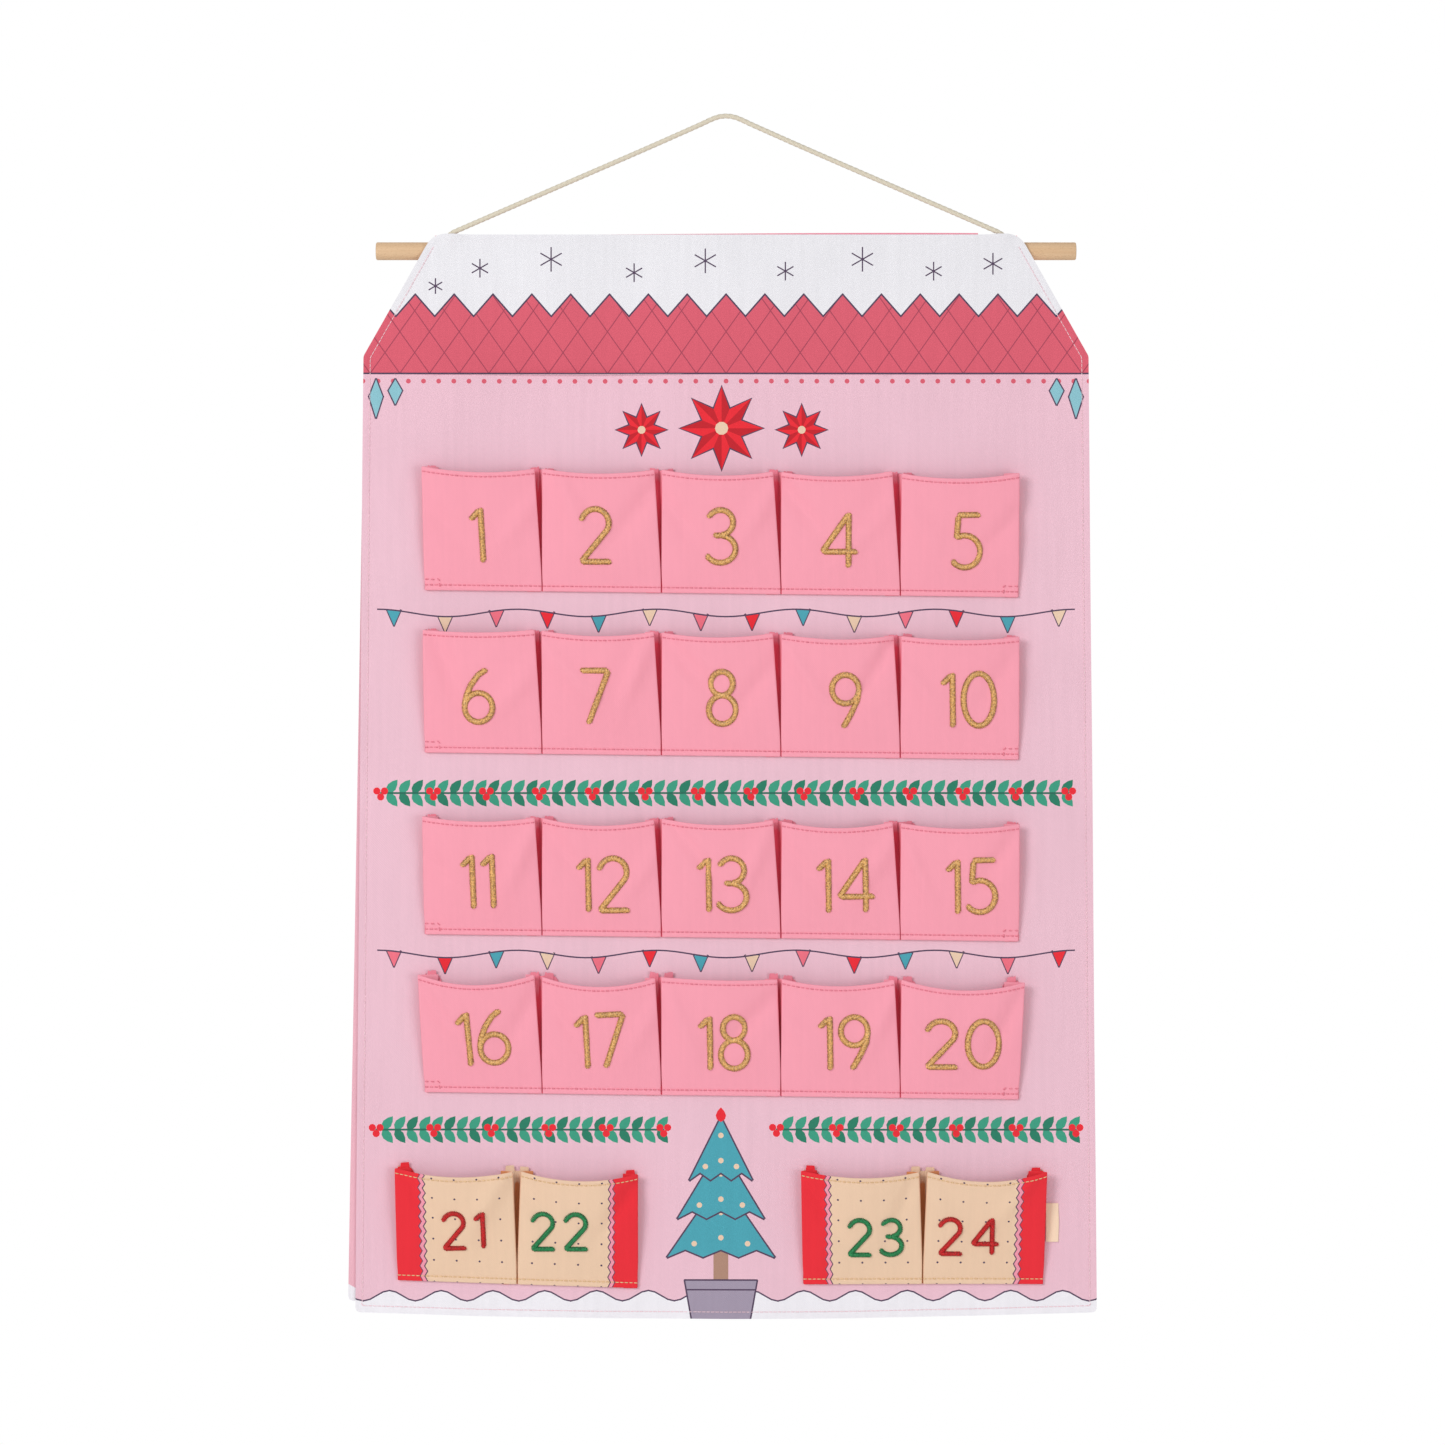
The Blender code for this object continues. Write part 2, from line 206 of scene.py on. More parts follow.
# Undyed twisted cotton: matt, with fine fibres along each strand. The fibres are drawn about 0.25 mm
# wide, several times too coarse, so that they show.
cord_cotton, tree, shader = new_finish("undyed_twisted_cotton", "#DDD4BF", 0.92, Sheen_Weight=0.2,
                                       Specular_IOR_Level=0.2)
strand = add(tree, "UVMap", uv_map="strands")
stretch = add(tree, "Mapping", {"Vector": strand, "Scale": (40.0, 500.0, 1.0)})
fibres = add(tree, "TexNoise", {"Vector": stretch, "Scale": 1.0, "Detail": 3.0})
tone = add(tree, "Mix", {"Factor": fibres, 6: ink("#CFC4AB"), 7: ink("#E9E2D2")}, data_type="RGBA")
fuzz = add(tree, "Bump", {"Height": fibres, "Strength": 0.5, "Distance": 0.0002})
wire(shader, {"Base Color": tone, "Normal": fuzz})

cord = place_in_room("hanging_cord_cotton", made("twisted_cord", twisted), cord_cotton)
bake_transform(cord)
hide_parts("hanging_cord")
[tuple(spot) for spot in ring_spots[::3] + ring_spots[-1:]]


# Printed canvas panel. One layer of cotton canvas, cut like a house front, printed all over and turned
# in at every edge. It hangs flat with slow waves, and is pushed forward where the cord ends lie behind it.
def drape(x, z):
    """How far the hung cloth stands behind its flat place: slow waves that die out at the rod."""
    below_rod, full_waves = -0.093, 0.10
    free = min(max((below_rod - z) / full_waves, 0.0), 1.0)
    waves = (0.9 * math.sin(x * 21 + 0.6) * math.sin(z * 9 + 0.4) + 0.7 * math.sin(x * 33 - z * 17 + 1.9)
             + 0.5 * math.sin(x * 12 + z * 25 + 0.8))
    return 0.001 * free * waves


def corner_ways(corners, index):
    """A corner of an outline, and its directions to the corner before and the one after."""
    here = Vector(corners[index][:2])
    before = (Vector(corners[index - 1][:2]) - here).normalized()
    after = (Vector(corners[(index + 1) % len(corners)][:2]) - here).normalized()
    return here, before, after


def moved_in(corners, inset):
    """The corners (x, z, radius) of an outline, each edge moved in by an inset, in millimetres."""
    moved = []
    for index, (_, _, radius) in enumerate(corners):
        here, before, after = corner_ways(corners, index)
        inward = Vector((after.y - before.y, before.x - after.x))
        moved.append((*(here + inward * (inset / (1 - before.dot(after)))), max(radius - inset, 0.0)))
    return moved


def rounded(corners):
    """The points of an outline whose corners (x, z, radius) are rounded where the radius isn't zero."""
    points = []
    for index, (_, _, radius) in enumerate(corners):
        here, before, after = corner_ways(corners, index)
        if radius < 0.5:
            points.append(here)
            continue
        reach = radius / math.tan(before.angle(after) / 2)
        for share in (0.0, 0.2, 0.4, 0.6, 0.8, 1.0):
            near = here + before * reach * (1 - share)
            points.append(near.lerp(here + after * reach * share, share))
    return points


def stepped(points, step, closed=True):
    """The points of a closed or open line with more between them, at even steps along it."""
    dense = []
    for start, end in zip(points, points[1:] + (points[:1] if closed else [])):
        count = max(1, round((end - start).length / step))
        dense += [start.lerp(end, share / count) for share in range(count)]
    return dense if closed else dense + points[-1:]


def toward(angle):
    """A step of length one at an angle on the cloth."""
    return Vector((math.cos(angle), math.sin(angle)))


def fill(points, colour):
    """Prints the area inside a line of points (x, z), in millimetres."""
    motifs.append(([Vector(point) for point in points], colour))


def draw_line(points, width, colour):
    """Prints a line of that width through the points. Each stretch runs on a little, to close the corners."""
    for start, end in zip(points, points[1:]):
        beyond = (Vector(end) - Vector(start)).normalized() * width * 0.35
        across = Vector((-beyond.y, beyond.x)) / 0.7
        low, high = Vector(start) - beyond, Vector(end) + beyond
        fill([low - across, high - across, high + across, low + across], colour)


def wavy(level, length, height, steps=8):
    """The points of a regular wave across the whole cloth, or of a zigzag where a wave has two steps."""
    count = round(2 * print_half / length)
    points = []
    for index in range(count * steps + 1):
        share = index / (count * steps)
        points.append((-print_half + 2 * print_half * share,
                       level + height / 2 * math.cos(2 * math.pi * count * share)))
    return points


def closed_at(level, line):
    """The area between a wave and a level beyond the cloth's edge."""
    return [(-print_half, level), *line, (print_half, level)]


def leaf(foot, angle, length, width):
    """The outline of a pointed leaf."""
    along = toward(angle)
    across = Vector((-along.y, along.x))
    shares = [(0.0, 0.0), (0.2, 0.8), (0.45, 1.0), (0.75, 0.65), (1.0, 0.0)]
    shares += [(a, -b) for a, b in reversed(shares[1:-1])]
    return [Vector(foot) + along * (length * a) + across * (width / 2 * b) for a, b in shares]


def disc(middle, radius, corners=10):
    """The outline of a dot."""
    return [Vector(middle) + radius * toward(2 * math.pi * k / corners) for k in range(corners)]


def house_corners(half_head, head, radius, half_shoulder, foot, slip=0):
    """The corners (x, z, radius) of a house-shaped cloth, whose bottom edge bows down, in millimetres."""
    bow = [(slip + half_foot * share, foot - foot_bow * (1 - share * share), 0)
           for share in (2 / 3, 1 / 3, 0, -1 / 3, -2 / 3)]
    return [(half_head, head, radius), (half_shoulder, shoulder_level, 6), (slip + half_foot, foot, 4), *bow,
            (slip - half_foot, foot, 4), (-half_shoulder, shoulder_level, 6), (-half_head, head, radius)]


top_level, shoulder_level = -78.3, -160.3
half_top, half_shoulder, half_foot = 198, 244.5, 250
foot_bow = 4.5
stitch_inset = 4.6
print_half = 262
panel_corners = house_corners(half_top, top_level, 14, half_shoulder, -805.1)
panel_outline = stepped(rounded(panel_corners), 6)

slate, red, deep_red = "#54435B", "#EC2E3A", "#C4242F"
teal, cream, raspberry, snow = "#4DA5B5", "#EBCDB2", "#DB6072", "#F1EFF5"
green, deep_green, coral = "#3E9E82", "#2C7F66", "#F07486"
motifs = [(panel_outline, "#ECC1D0")]

# Raspberry band under the white top, with a lattice and a dotted border
fill([(-260, -70), (260, -70), (260, -172), (-260, -172)], raspberry)
for index in range(-13, 14):
    for lean in (-44, 44):
        draw_line([(index * 20, -172), (index * 20 + lean, -110)], 0.7, "#A8485C")
draw_line([(-255, -172), (255, -172)], 1.1, slate)
for index in range(-24, 25):
    fill(disc((index * 10.2, -177.2), 1.7, 8), raspberry)

# White top with a zigzag edge and small six-armed snowflakes
edge = wavy(-126, 26.2, 15, steps=2)
fill(closed_at(-60, edge), "#EBEAEF")
draw_line(edge, 1.1, slate)
for x, z, arm in ((-166, -101, 6), (-118, -95, 8), (-62, -104, 6), (-14, -96, 8), (40, -103, 6), (92, -95, 8),
                  (140, -103, 6), (180, -98, 7), (-196, -113, 5)):
    for turn in range(3):
        spoke = toward(math.pi / 2 + turn * math.pi / 3) * arm
        draw_line([Vector((x, z)) - spoke, Vector((x, z)) + spoke], 0.9, slate)

# Pieced stars above the first row: eight points, each half light and half dark
for x, z, size in ((-3, -209, 28), (-57, -210, 17), (51, -210, 17)):
    middle = Vector((x, z))
    tips = [toward(k * math.pi / 8) * (size * 0.5 if k % 2 else size) for k in range(16)]
    fill([middle + tip * (1 + 1.4 / tip.length) for tip in tips], slate)
    for k in range(16):
        fill([middle, middle + tips[k], middle + tips[(k + 1) % 16]], deep_red if k % 2 else red)
    fill(disc(middle, size * 0.16), cream)

# Light-blue diamond pendants below the shoulders
for side in (-1, 1):
    for x, length in ((side * 236, 26), (side * 223, 17)):
        waist = -176 - length * 0.45
        pendant = [(x, -176), (x + 4.5, waist), (x, -176 - length), (x - 4.5, waist)]
        draw_line(pendant + pendant[:2], 1.8, slate)
        fill(pendant, "#8CC3CF")


# Strings of pennants between the rows
def string_height(x, level):
    """How high a string that is tied up every 94 mm hangs."""
    return level - 5 * math.sin(math.pi * (x + 235) / 94) ** 2


for level, phase in ((-331, 0), (-561, 2)):
    for index in range(14):
        x = -224 + index * 34.5
        head = string_height(x, level)
        flag = [(x - 4.6, head), (x, head - 10.5), (x + 4.6, head)]
        draw_line(flag, 1.4, slate)
        fill(flag, (teal, cream, coral, red)[(index + phase) % 4])
    draw_line([(x, string_height(x, level)) for x in range(-235, 236, 5)], 1.0, slate)

# Straight leaf borders with red berries
for left, right, level in ((-233, 231, -455), (-236, -42, -682), (34, 236, -682)):
    count = round((right - left) / 8.6)
    for index in range(count):
        foot = (left + (right - left) * (index + 0.5) / count, level)
        for side in (-1, 1):
            shade = green if (index + side) % 3 else deep_green
            fill(leaf(foot, side * math.radians(52), 11.5, 6.4), shade)
    draw_line([(left, level), (right, level)], 1.3, "#2B6D5B")
    bunches = count // 4
    for index in range(bunches + 1):
        spot = Vector((left + (right - left) * index / bunches, level))
        for berry in ((-2.6, 1.4), (2.6, 1.4), (0, -2.6)):
            fill(disc(spot + Vector(berry), 2.5, 9), red)

# White wave along the bottom
wave = wavy(-794, 34.9, 7)
fill(closed_at(-830, wave), snow)
draw_line(wave, 1.0, slate)

# Fir tree of three tiers in a pot, between the window pockets
tree_x = -3.5
fill([(tree_x - 5, -786), (tree_x - 5, -762), (tree_x + 5, -762), (tree_x + 5, -786)], "#B08A78")
pot = [(tree_x - 24, -784), (tree_x + 24, -784), (tree_x + 19, -812), (tree_x - 19, -812)]
draw_line(pot + pot[:2], 2.2, slate)
fill(pot, "#A397AB")
draw_line([(tree_x - 23, -790), (tree_x + 23, -790)], 1.0, slate)
for foot, head, half in ((-768, -716, 36), (-742, -694, 29), (-716, -674, 21)):
    tier = [(tree_x + half * (k / 3 - 1), foot + 5 * (k % 2)) for k in range(7)] + [(tree_x, head)]
    draw_line(tier + tier[:2], 2.2, slate)
    fill(tier, teal)
    for x, z in ((-0.5, 9), (0.0, 13), (0.5, 9), (0.0, 30)):
        fill(disc((tree_x + x * half, foot + z), 1.9), cream)
fill(leaf((tree_x, -677), math.pi / 2, 10, 7), red)


def spread_cloth(name, motifs, hem=()):
    """Fills the first outline of a print with flat cloth, cut along every motif, in millimetres.

    Each face takes the ink of the last motif that covers it. A few lines of points follow the panel's hem.
    """
    spacing = 8.0
    places, outlines = [], []
    for outline, _ in motifs:
        twice_area = sum(a.cross(b) for a, b in zip(outline, outline[1:] + outline[:1]))
        outlines.append(list(range(len(places), len(places) + len(outline))))
        places += outline if twice_area > 0 else outline[::-1]
    xs = [p.x for p in motifs[0][0]]
    zs = [p.y for p in motifs[0][0]]
    for row in range(int((max(zs) - min(zs)) / spacing)):
        for column in range(int((max(xs) - min(xs)) / spacing)):
            places.append(Vector((min(xs) + (column + 0.5 + 0.25 * (row % 2)) * spacing,
                                  min(zs) + (row + 0.6) * spacing)))
    for inset in hem:
        places += stepped(rounded(moved_in(panel_corners, inset)), 5)
    flat, _, faces, _, _, covers = delaunay_2d_cdt(places, [], outlines, 1, 0.005)
    kept = [index for index, cover in enumerate(covers) if 0 in cover]
    mesh = bpy.data.meshes.new(name)
    mesh.from_pydata([(p.x / 1000, 0, p.y / 1000) for p in flat], [], [faces[index] for index in kept])
    values = []
    for index in kept:
        values += ink(motifs[max(covers[index])][1]) * len(faces[index])
    mesh.color_attributes.new("print", "BYTE_COLOR", "CORNER").data.foreach_set("color", values)
    loose = bmesh.new()
    loose.from_mesh(mesh)
    bmesh.ops.delete(loose, geom=[v for v in loose.verts if not v.link_faces], context="VERTS")
    loose.to_mesh(mesh)
    loose.free()
    return mesh


def to_outline(x, z, outline):
    """The distance in metres from a place to an outline in millimetres."""
    here = Vector((x * 1000, z * 1000))
    nearest = 1e9
    for start, end in zip(outline, outline[1:] + outline[:1]):
        run = end - start
        share = min(max((here - start).dot(run) / run.length_squared, 0.0), 1.0)
        nearest = min(nearest, (here - start - run * share).length_squared)
    return math.sqrt(nearest) / 1000


panel_front = -0.0004
cord_end_x = 0.1865
panel_mesh = spread_cloth("printed_panel", motifs, (1.5, 3.4, stitch_inset, 5.8))
for vertex in panel_mesh.vertices:
    x, _, z = vertex.co
    inside = to_outline(x, z, panel_outline)
    hem_ridge = 0.0005 * math.exp(-(max(inside - 0.0018, 0) / 0.0022) ** 2)
    stitch_groove = 0.00015 * math.exp(-((inside - stitch_inset / 1000) / 0.0009) ** 2)
    beside, below = (abs(x) - cord_end_x) / 0.0065, (z - top_level / 1000) / 0.0075
    pushed = 0.0023 * math.exp(-beside ** 2 - below ** 2)
    vertex.co.y = panel_front + drape(x, z) - hem_ridge + stitch_groove - pushed
    vertex.co.z += 0.25 * pushed * (1 if z > -0.0815 else 0)


def weave(tree, shader, vector, colour, spacing, warp, share):
    """Gives a cloth a plain weave's relief, and varies its colour by uneven threads and soft patches.

    The vector is flat and in metres. The warp runs along Y or Z and the weft along X. spacing is in
    millimetres between threads, and share is how far the colour goes up and down.
    """
    flat = add(tree, "SeparateXYZ", {0: vector})
    lines = []
    for axis in ("X", warp):
        turned = add(tree, "Math", {0: flat.outputs[axis], 1: math.pi / spacing * 1000}, operation="MULTIPLY")
        lines.append(add(tree, "Math", {0: turned}, operation="SINE"))
    height = add(tree, "Math", {0: lines[0], 1: lines[1]}, operation="MULTIPLY")
    scale = [260.0, 260.0, 260.0]
    scale["XYZ".index(warp)] = 14.0
    long_map = add(tree, "Mapping", {"Vector": vector, "Scale": scale})
    slub = add(tree, "TexNoise", {"Vector": long_map, "Scale": 1.0, "Detail": 2.0})
    patches = add(tree, "TexNoise", {"Vector": vector, "Scale": 14.0, "Detail": 3.0})
    both = add(tree, "Math", {0: patches, 1: slub}, operation="ADD")
    level = add(tree, "MapRange", {"Value": both, "From Min": 0.7, "From Max": 1.3, "To Min": 1 - share,
                                   "To Max": 1 + share})
    shaded = add(tree, "VectorMath", {0: colour, "Scale": level}, operation="SCALE")
    rough = add(tree, "Math", {0: slub, 1: height}, operation="ADD")
    bump = add(tree, "Bump", {"Height": rough, "Strength": 0.35, "Distance": 0.0001})
    wire(shader, {"Base Color": shaded, "Normal": bump})


# Cotton canvas with pigment print: matt, slubby along the warp. The threads, about 0.5 mm apart in the
# real cloth, are drawn 0.8 mm apart so that they show.
canvas, tree, shader = new_finish("pigment_printed_cotton_canvas", "#ECC1CE", 0.88, Sheen_Weight=0.08,
                                  Specular_IOR_Level=0.25)
spot = add(tree, "TexCoord").outputs["Object"]
weave(tree, shader, spot, add(tree, "Attribute", attribute_name="print"), 0.8, "Z", 0.028)

# The back of the same canvas, where only a little of the ink has come through.
canvas_back, tree, shader = new_finish("unprinted_canvas_back", "#EBD3D9", 0.9, Sheen_Weight=0.08,
                                       Specular_IOR_Level=0.25)
weave(tree, shader, add(tree, "TexCoord").outputs["Object"], ink("#EBD3D9")[:3], 0.8, "Z", 0.03)


def thicken(piece, thickness, offset=-1.0, back=0):
    """Gives a sheet its thickness, behind its face or to both sides. Its back takes a later material."""
    layer = piece.modifiers.new("cloth thickness", "SOLIDIFY")
    layer.thickness = thickness
    layer.offset = offset
    layer.material_offset = back


panel = place_in_room("canvas_panel", panel_mesh, canvas, canvas_back)
thicken(panel, 0.0008, back=1)
settle(panel, 50)
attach(panel, "panel")
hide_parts("front_panel")


# Stitching. Every seam is sewn with a lockstitch: short rounded stitches of one polyester thread that dip
# into the cloth at both ends. The panel's edges are top-stitched in light pink.
def new_tree(name, *sizes):
    """A Geometry Nodes tree with named inputs, its input sockets and its output node."""
    tree = bpy.data.node_groups.new(name, "GeometryNodeTree")
    tree.interface.new_socket("Guide", in_out="INPUT", socket_type="NodeSocketGeometry")
    for size in sizes:
        tree.interface.new_socket(size, in_out="INPUT", socket_type="NodeSocketFloat")
    tree.interface.new_socket("Thread", in_out="INPUT", socket_type="NodeSocketMaterial")
    tree.interface.new_socket("Sewn", in_out="OUTPUT", socket_type="NodeSocketGeometry")
    return tree, add(tree, "NodeGroupInput").outputs, add(tree, "NodeGroupOutput")


def thread_arch(tree, given, reach, axis):
    """One arch of thread of a length along an axis, risen at its middle and sunk at its ends."""
    ends = []
    for share in (-0.5, 0.5):
        half = add(tree, "Math", {0: reach, 1: share}, operation="MULTIPLY")
        ends.append(add(tree, "CombineXYZ", {axis: half}))
    middle = add(tree, "CombineXYZ", {"Z": given["Rise"]})
    bow = add(tree, "GeometryNodeCurveQuadraticBezier", {"Resolution": 6, "Start": ends[0], "Middle": middle,
                                                         "End": ends[1]})
    marked = add(tree, "GeometryNodeStoreNamedAttribute", {
        "Geometry": bow, "Name": "thread_share", "Value": add(tree, "GeometryNodeSplineParameter")})
    ring = add(tree, "GeometryNodeCurvePrimitiveCircle", {"Resolution": 5, "Radius": given["Thread Radius"]})
    return add(tree, "GeometryNodeCurveToMesh", {"Curve": marked, "Profile Curve": ring, "Fill Caps": True})


def lay_along(tree, given, outcome, spacing, one, turn=None, scale=None):
    """Lays an arch of thread at even steps along the guide, standing on the cloth, and finishes the tree."""
    curve = add(tree, "GeometryNodeMeshToCurve", {"Mesh": given["Guide"]})
    even = add(tree, "GeometryNodeResampleCurve", {"Curve": curve, "Length": spacing}, mode="LENGTH")
    outward = add(tree, "GeometryNodeInputNamedAttribute", {"Name": "outward"}, data_type="FLOAT_VECTOR")
    tangent = add(tree, "GeometryNodeInputTangent")
    standing = add(tree, "FunctionNodeAxesToRotation", {"Primary Axis": outward, "Secondary Axis": tangent},
                   secondary_axis="Y")
    if turn is not None:
        slant = add(tree, "FunctionNodeAxisAngleToRotation", {"Axis": (0, 0, 1), "Angle": turn})
        standing = add(tree, "FunctionNodeRotateRotation", {"Rotation": standing, "Rotate By": slant},
                       rotation_space="LOCAL")
    laid = add(tree, "GeometryNodeInstanceOnPoints", {"Points": even, "Instance": one, "Rotation": standing})
    if scale is not None:
        wire(laid, {"Scale": scale})
    real = add(tree, "GeometryNodeRealizeInstances", {"Geometry": laid})
    smooth = add(tree, "GeometryNodeSetShadeSmooth", {"Geometry": real})
    dyed = add(tree, "GeometryNodeSetMaterial", {"Geometry": smooth, "Material": given["Thread"]})
    wire(outcome, {"Sewn": dyed})


def sew(name, lines, tree, sizes, body):
    """Sews lines of (place, outward) with a tree's thread, and makes the result a plain mesh on a body."""
    guide = bpy.data.meshes.new(name)
    edges, start = [], 0
    for line in lines:
        edges += [(start + step, start + step + 1) for step in range(len(line) - 1)]
        start += len(line)
    guide.from_pydata([place for line in lines for place, _ in line], edges, [])
    outward = guide.attributes.new("outward", "FLOAT_VECTOR", "POINT")
    outward.data.foreach_set("vector", [value for line in lines for _, way in line for value in way])
    piece = place_in_room(name, guide)
    stitching = piece.modifiers.new("stitching", "NODES")
    stitching.node_group = tree
    for item in tree.interface.items_tree:
        if item.name in sizes:
            stitching[item.identifier] = sizes[item.name]
    settle(piece)
    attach(piece, body)
    return piece


def thread_finish(name, colour, painted_shade, roughness, gloss):
    """Twisted thread, with painted shade where it dives into the cloth and a painted highlight atop its arch.

    Its twist shows as fine changes of tone, drawn about 0.6 mm apart.
    """
    material, tree, shader = new_finish(name, colour, roughness, Specular_IOR_Level=gloss, Sheen_Weight=0.03)
    spot = add(tree, "TexCoord").outputs["Object"]
    tone = add(tree, "TexNoise", {"Vector": spot, "Scale": 1000.0, "Detail": 2.0})
    share = add(tree, "Attribute", attribute_name="thread_share").outputs["Fac"]
    # Each arch is darkened towards its ends as painted shade and lightened at its middle as a painted
    # highlight.
    highlight_share = add(tree, "Math", {0: share, 1: 0.5}, operation="PINGPONG")
    level = add(tree, "Math", {0: highlight_share, 1: 1.2, 2: -1.15}, operation="MULTIPLY_ADD")
    level = add(tree, "Math", {0: tone, 1: 2.8, 2: level}, operation="MULTIPLY_ADD", use_clamp=True)
    mixed = add(tree, "Mix", {"Factor": level, 6: ink(painted_shade), 7: ink(colour)}, data_type="RGBA")
    wire(shader, {"Base Color": mixed})
    return material


running_stitch, given, outcome = new_tree("running_stitch", "Stitch Step", "Stitch Length", "Rise",
                                          "Thread Radius")
one_stitch = thread_arch(running_stitch, given, given["Stitch Length"], "Y")
lay_along(running_stitch, given, outcome, given["Stitch Step"], one_stitch)

forward, backward = Vector((0, -1, 0)), Vector((0, 1, 0))
light_pink_thread = thread_finish("light_pink_polyester_thread", "#FADFE5", "#F0C6D0", 0.6, 0.4)
lockstitch = {"Stitch Step": 0.0030, "Stitch Length": 0.0023, "Rise": 0.0007, "Thread Radius": 0.00026,
              "Thread": light_pink_thread}
topstitch = []
for p in stepped(rounded(moved_in(panel_corners, stitch_inset)), 8):
    if p.y < top_level - 8:
        x, z = p.x / 1000, p.y / 1000
        topstitch.append((Vector((x, panel_front + drape(x, z), z)), forward))
edge_stitches = sew("panel_topstitching", [topstitch], running_stitch, lockstitch, "panel")


# Pockets. Each row is one strip of cotton, hemmed at the mouth and pleated so that every pocket has a
# front and two gussets that fold back and inwards to the panel. Each pocket is one sheet here, sewn flat
# along its foot and free at its mouth, which sags a little differently in each.
leans = {1: 0.0014, 6: 0.0008, 11: 0.0010, 16: 0.0042, 20: 0.0036, 21: 0.0013, 23: 0.0013, 24: 0.0019}
row_4_gaps = {17: 0.0042, 18: 0.0026, 19: 0.0044}
sags = (3.2, 3.0, 3.4, 3.4, 3.8, 1.8, 3.4, 3.0, 3.2, 2.6, 3.0, 4.4, 3.6, 4.2, 3.4, 6.8, 6.0, 1.2, 4.4, 6.0,
        4.6, 5.0, 4.0, 6.4)
foot_front = -0.0026
foot_stitch_rise = 0.0037
mouth_stitch_drop = 0.0031


def pocket_shape(number, left, pitch, index, count, mouth, height, droop, window):
    """The sizes of one pocket, with its own sag, gaps and soft folds."""
    chance = random.Random(100 + number)
    slope = droop / (pitch * count)
    from_middle = pitch * (index - (count - 1) / 2)
    first, last = index == 0, index == count - 1
    folds = []
    for side in (-1, 1):
        folds.append((side * pitch * chance.uniform(0.20, 0.34), height * chance.uniform(0.45, 0.75),
                      math.pi / 2 - side * chance.uniform(0.35, 0.8), chance.uniform(0.0045, 0.0075),
                      chance.uniform(0.028, 0.042), chance.choice((-1, 1)) * chance.uniform(2.9, 4.2) / 1000))
    folds.append((pitch * chance.uniform(-0.2, 0.2), height * chance.uniform(0.12, 0.3),
                  chance.uniform(-0.5, 0.5), 0.007, 0.03, chance.uniform(-0.6, 0.6) / 1000))
    folds.append((pitch * chance.uniform(-0.3, 0.3), height * chance.uniform(0.6, 0.9),
                  chance.uniform(1.2, 1.9), 0.010, 0.03, chance.uniform(-1.6, 1.6) / 1000))
    phase = chance.uniform(0, 6)
    left_gap = -leans[number] if first else 0.0026 if window else chance.uniform(0, 0.0006)
    right_gap = -leans.get(number, 0.0) if last else 0.0026 if window else chance.uniform(0.0046, 0.0058)
    return types.SimpleNamespace(
        number=number, window=window, x=left + pitch * (index + 0.5), half=pitch / 2, height=height,
        foot=mouth - height - slope * from_middle, slope=slope, sag=sags[number - 1] / 1000, folds=folds,
        phase=phase, gaps=(left_gap, row_4_gaps.get(number, right_gap)),
        drops=(chance.uniform(0.0, 0.0012), chance.uniform(-0.0004, 0.0012)),
        insets=(0.0021 if first else 0.0009, 0.0015 if last else 0.0009), tucked=(first or window, True),
        way=-1 if window and first else 1)


rows = {}
for hem, first, left, pitch, count, mouth, height, droop, window in (
        ("row_1_hem", 1, -0.2045, 0.0805, 5, -0.2376, 0.083, 0.0048, False),
        ("row_2_hem", 6, -0.2045, 0.0805, 5, -0.3471, 0.083, 0.0048, False),
        ("row_3_hem", 11, -0.2045, 0.0805, 5, -0.4726, 0.080, 0.0048, False),
        ("row_4_hem", 16, -0.2045, 0.0805, 5, -0.5791, 0.080, 0.0048, False),
        ("left_window_hem", 21, -0.2228, 0.082, 2, -0.7091, 0.077, 0.0055, True),
        ("right_window_hem", 23, 0.0506, 0.082, 2, -0.7091, 0.077, 0.0, True)):
    rows[hem] = [pocket_shape(first + index, left, pitch, index, count, mouth, height, droop, window)
                 for index in range(count)]
pockets = [pocket for row in rows.values() for pocket in row]


def growth(pocket, up):
    """The share of a pocket's free height at a level, and how far the pocket has opened there."""
    row = min(max((up - 0.0044) / (pocket.height - 0.0044), 0.0), 1.0)
    return row, 1 - (1 - row) ** 1.3


def front_ends(pocket, row):
    """Where a pocket's front ends on the left and on the right, at a share of its height."""
    return (-pocket.half + pocket.insets[0] + pocket.gaps[0] * row,
            pocket.half - pocket.insets[1] - pocket.gaps[1] * row)


def mouth_drop(pocket, across):
    """How far a pocket's mouth hangs down, from -1 to 1 across it."""
    drop = (pocket.drops[0] * (1 - across) + pocket.drops[1] * (1 + across)) / 2
    return pocket.sag * (1 - across * across) + drop


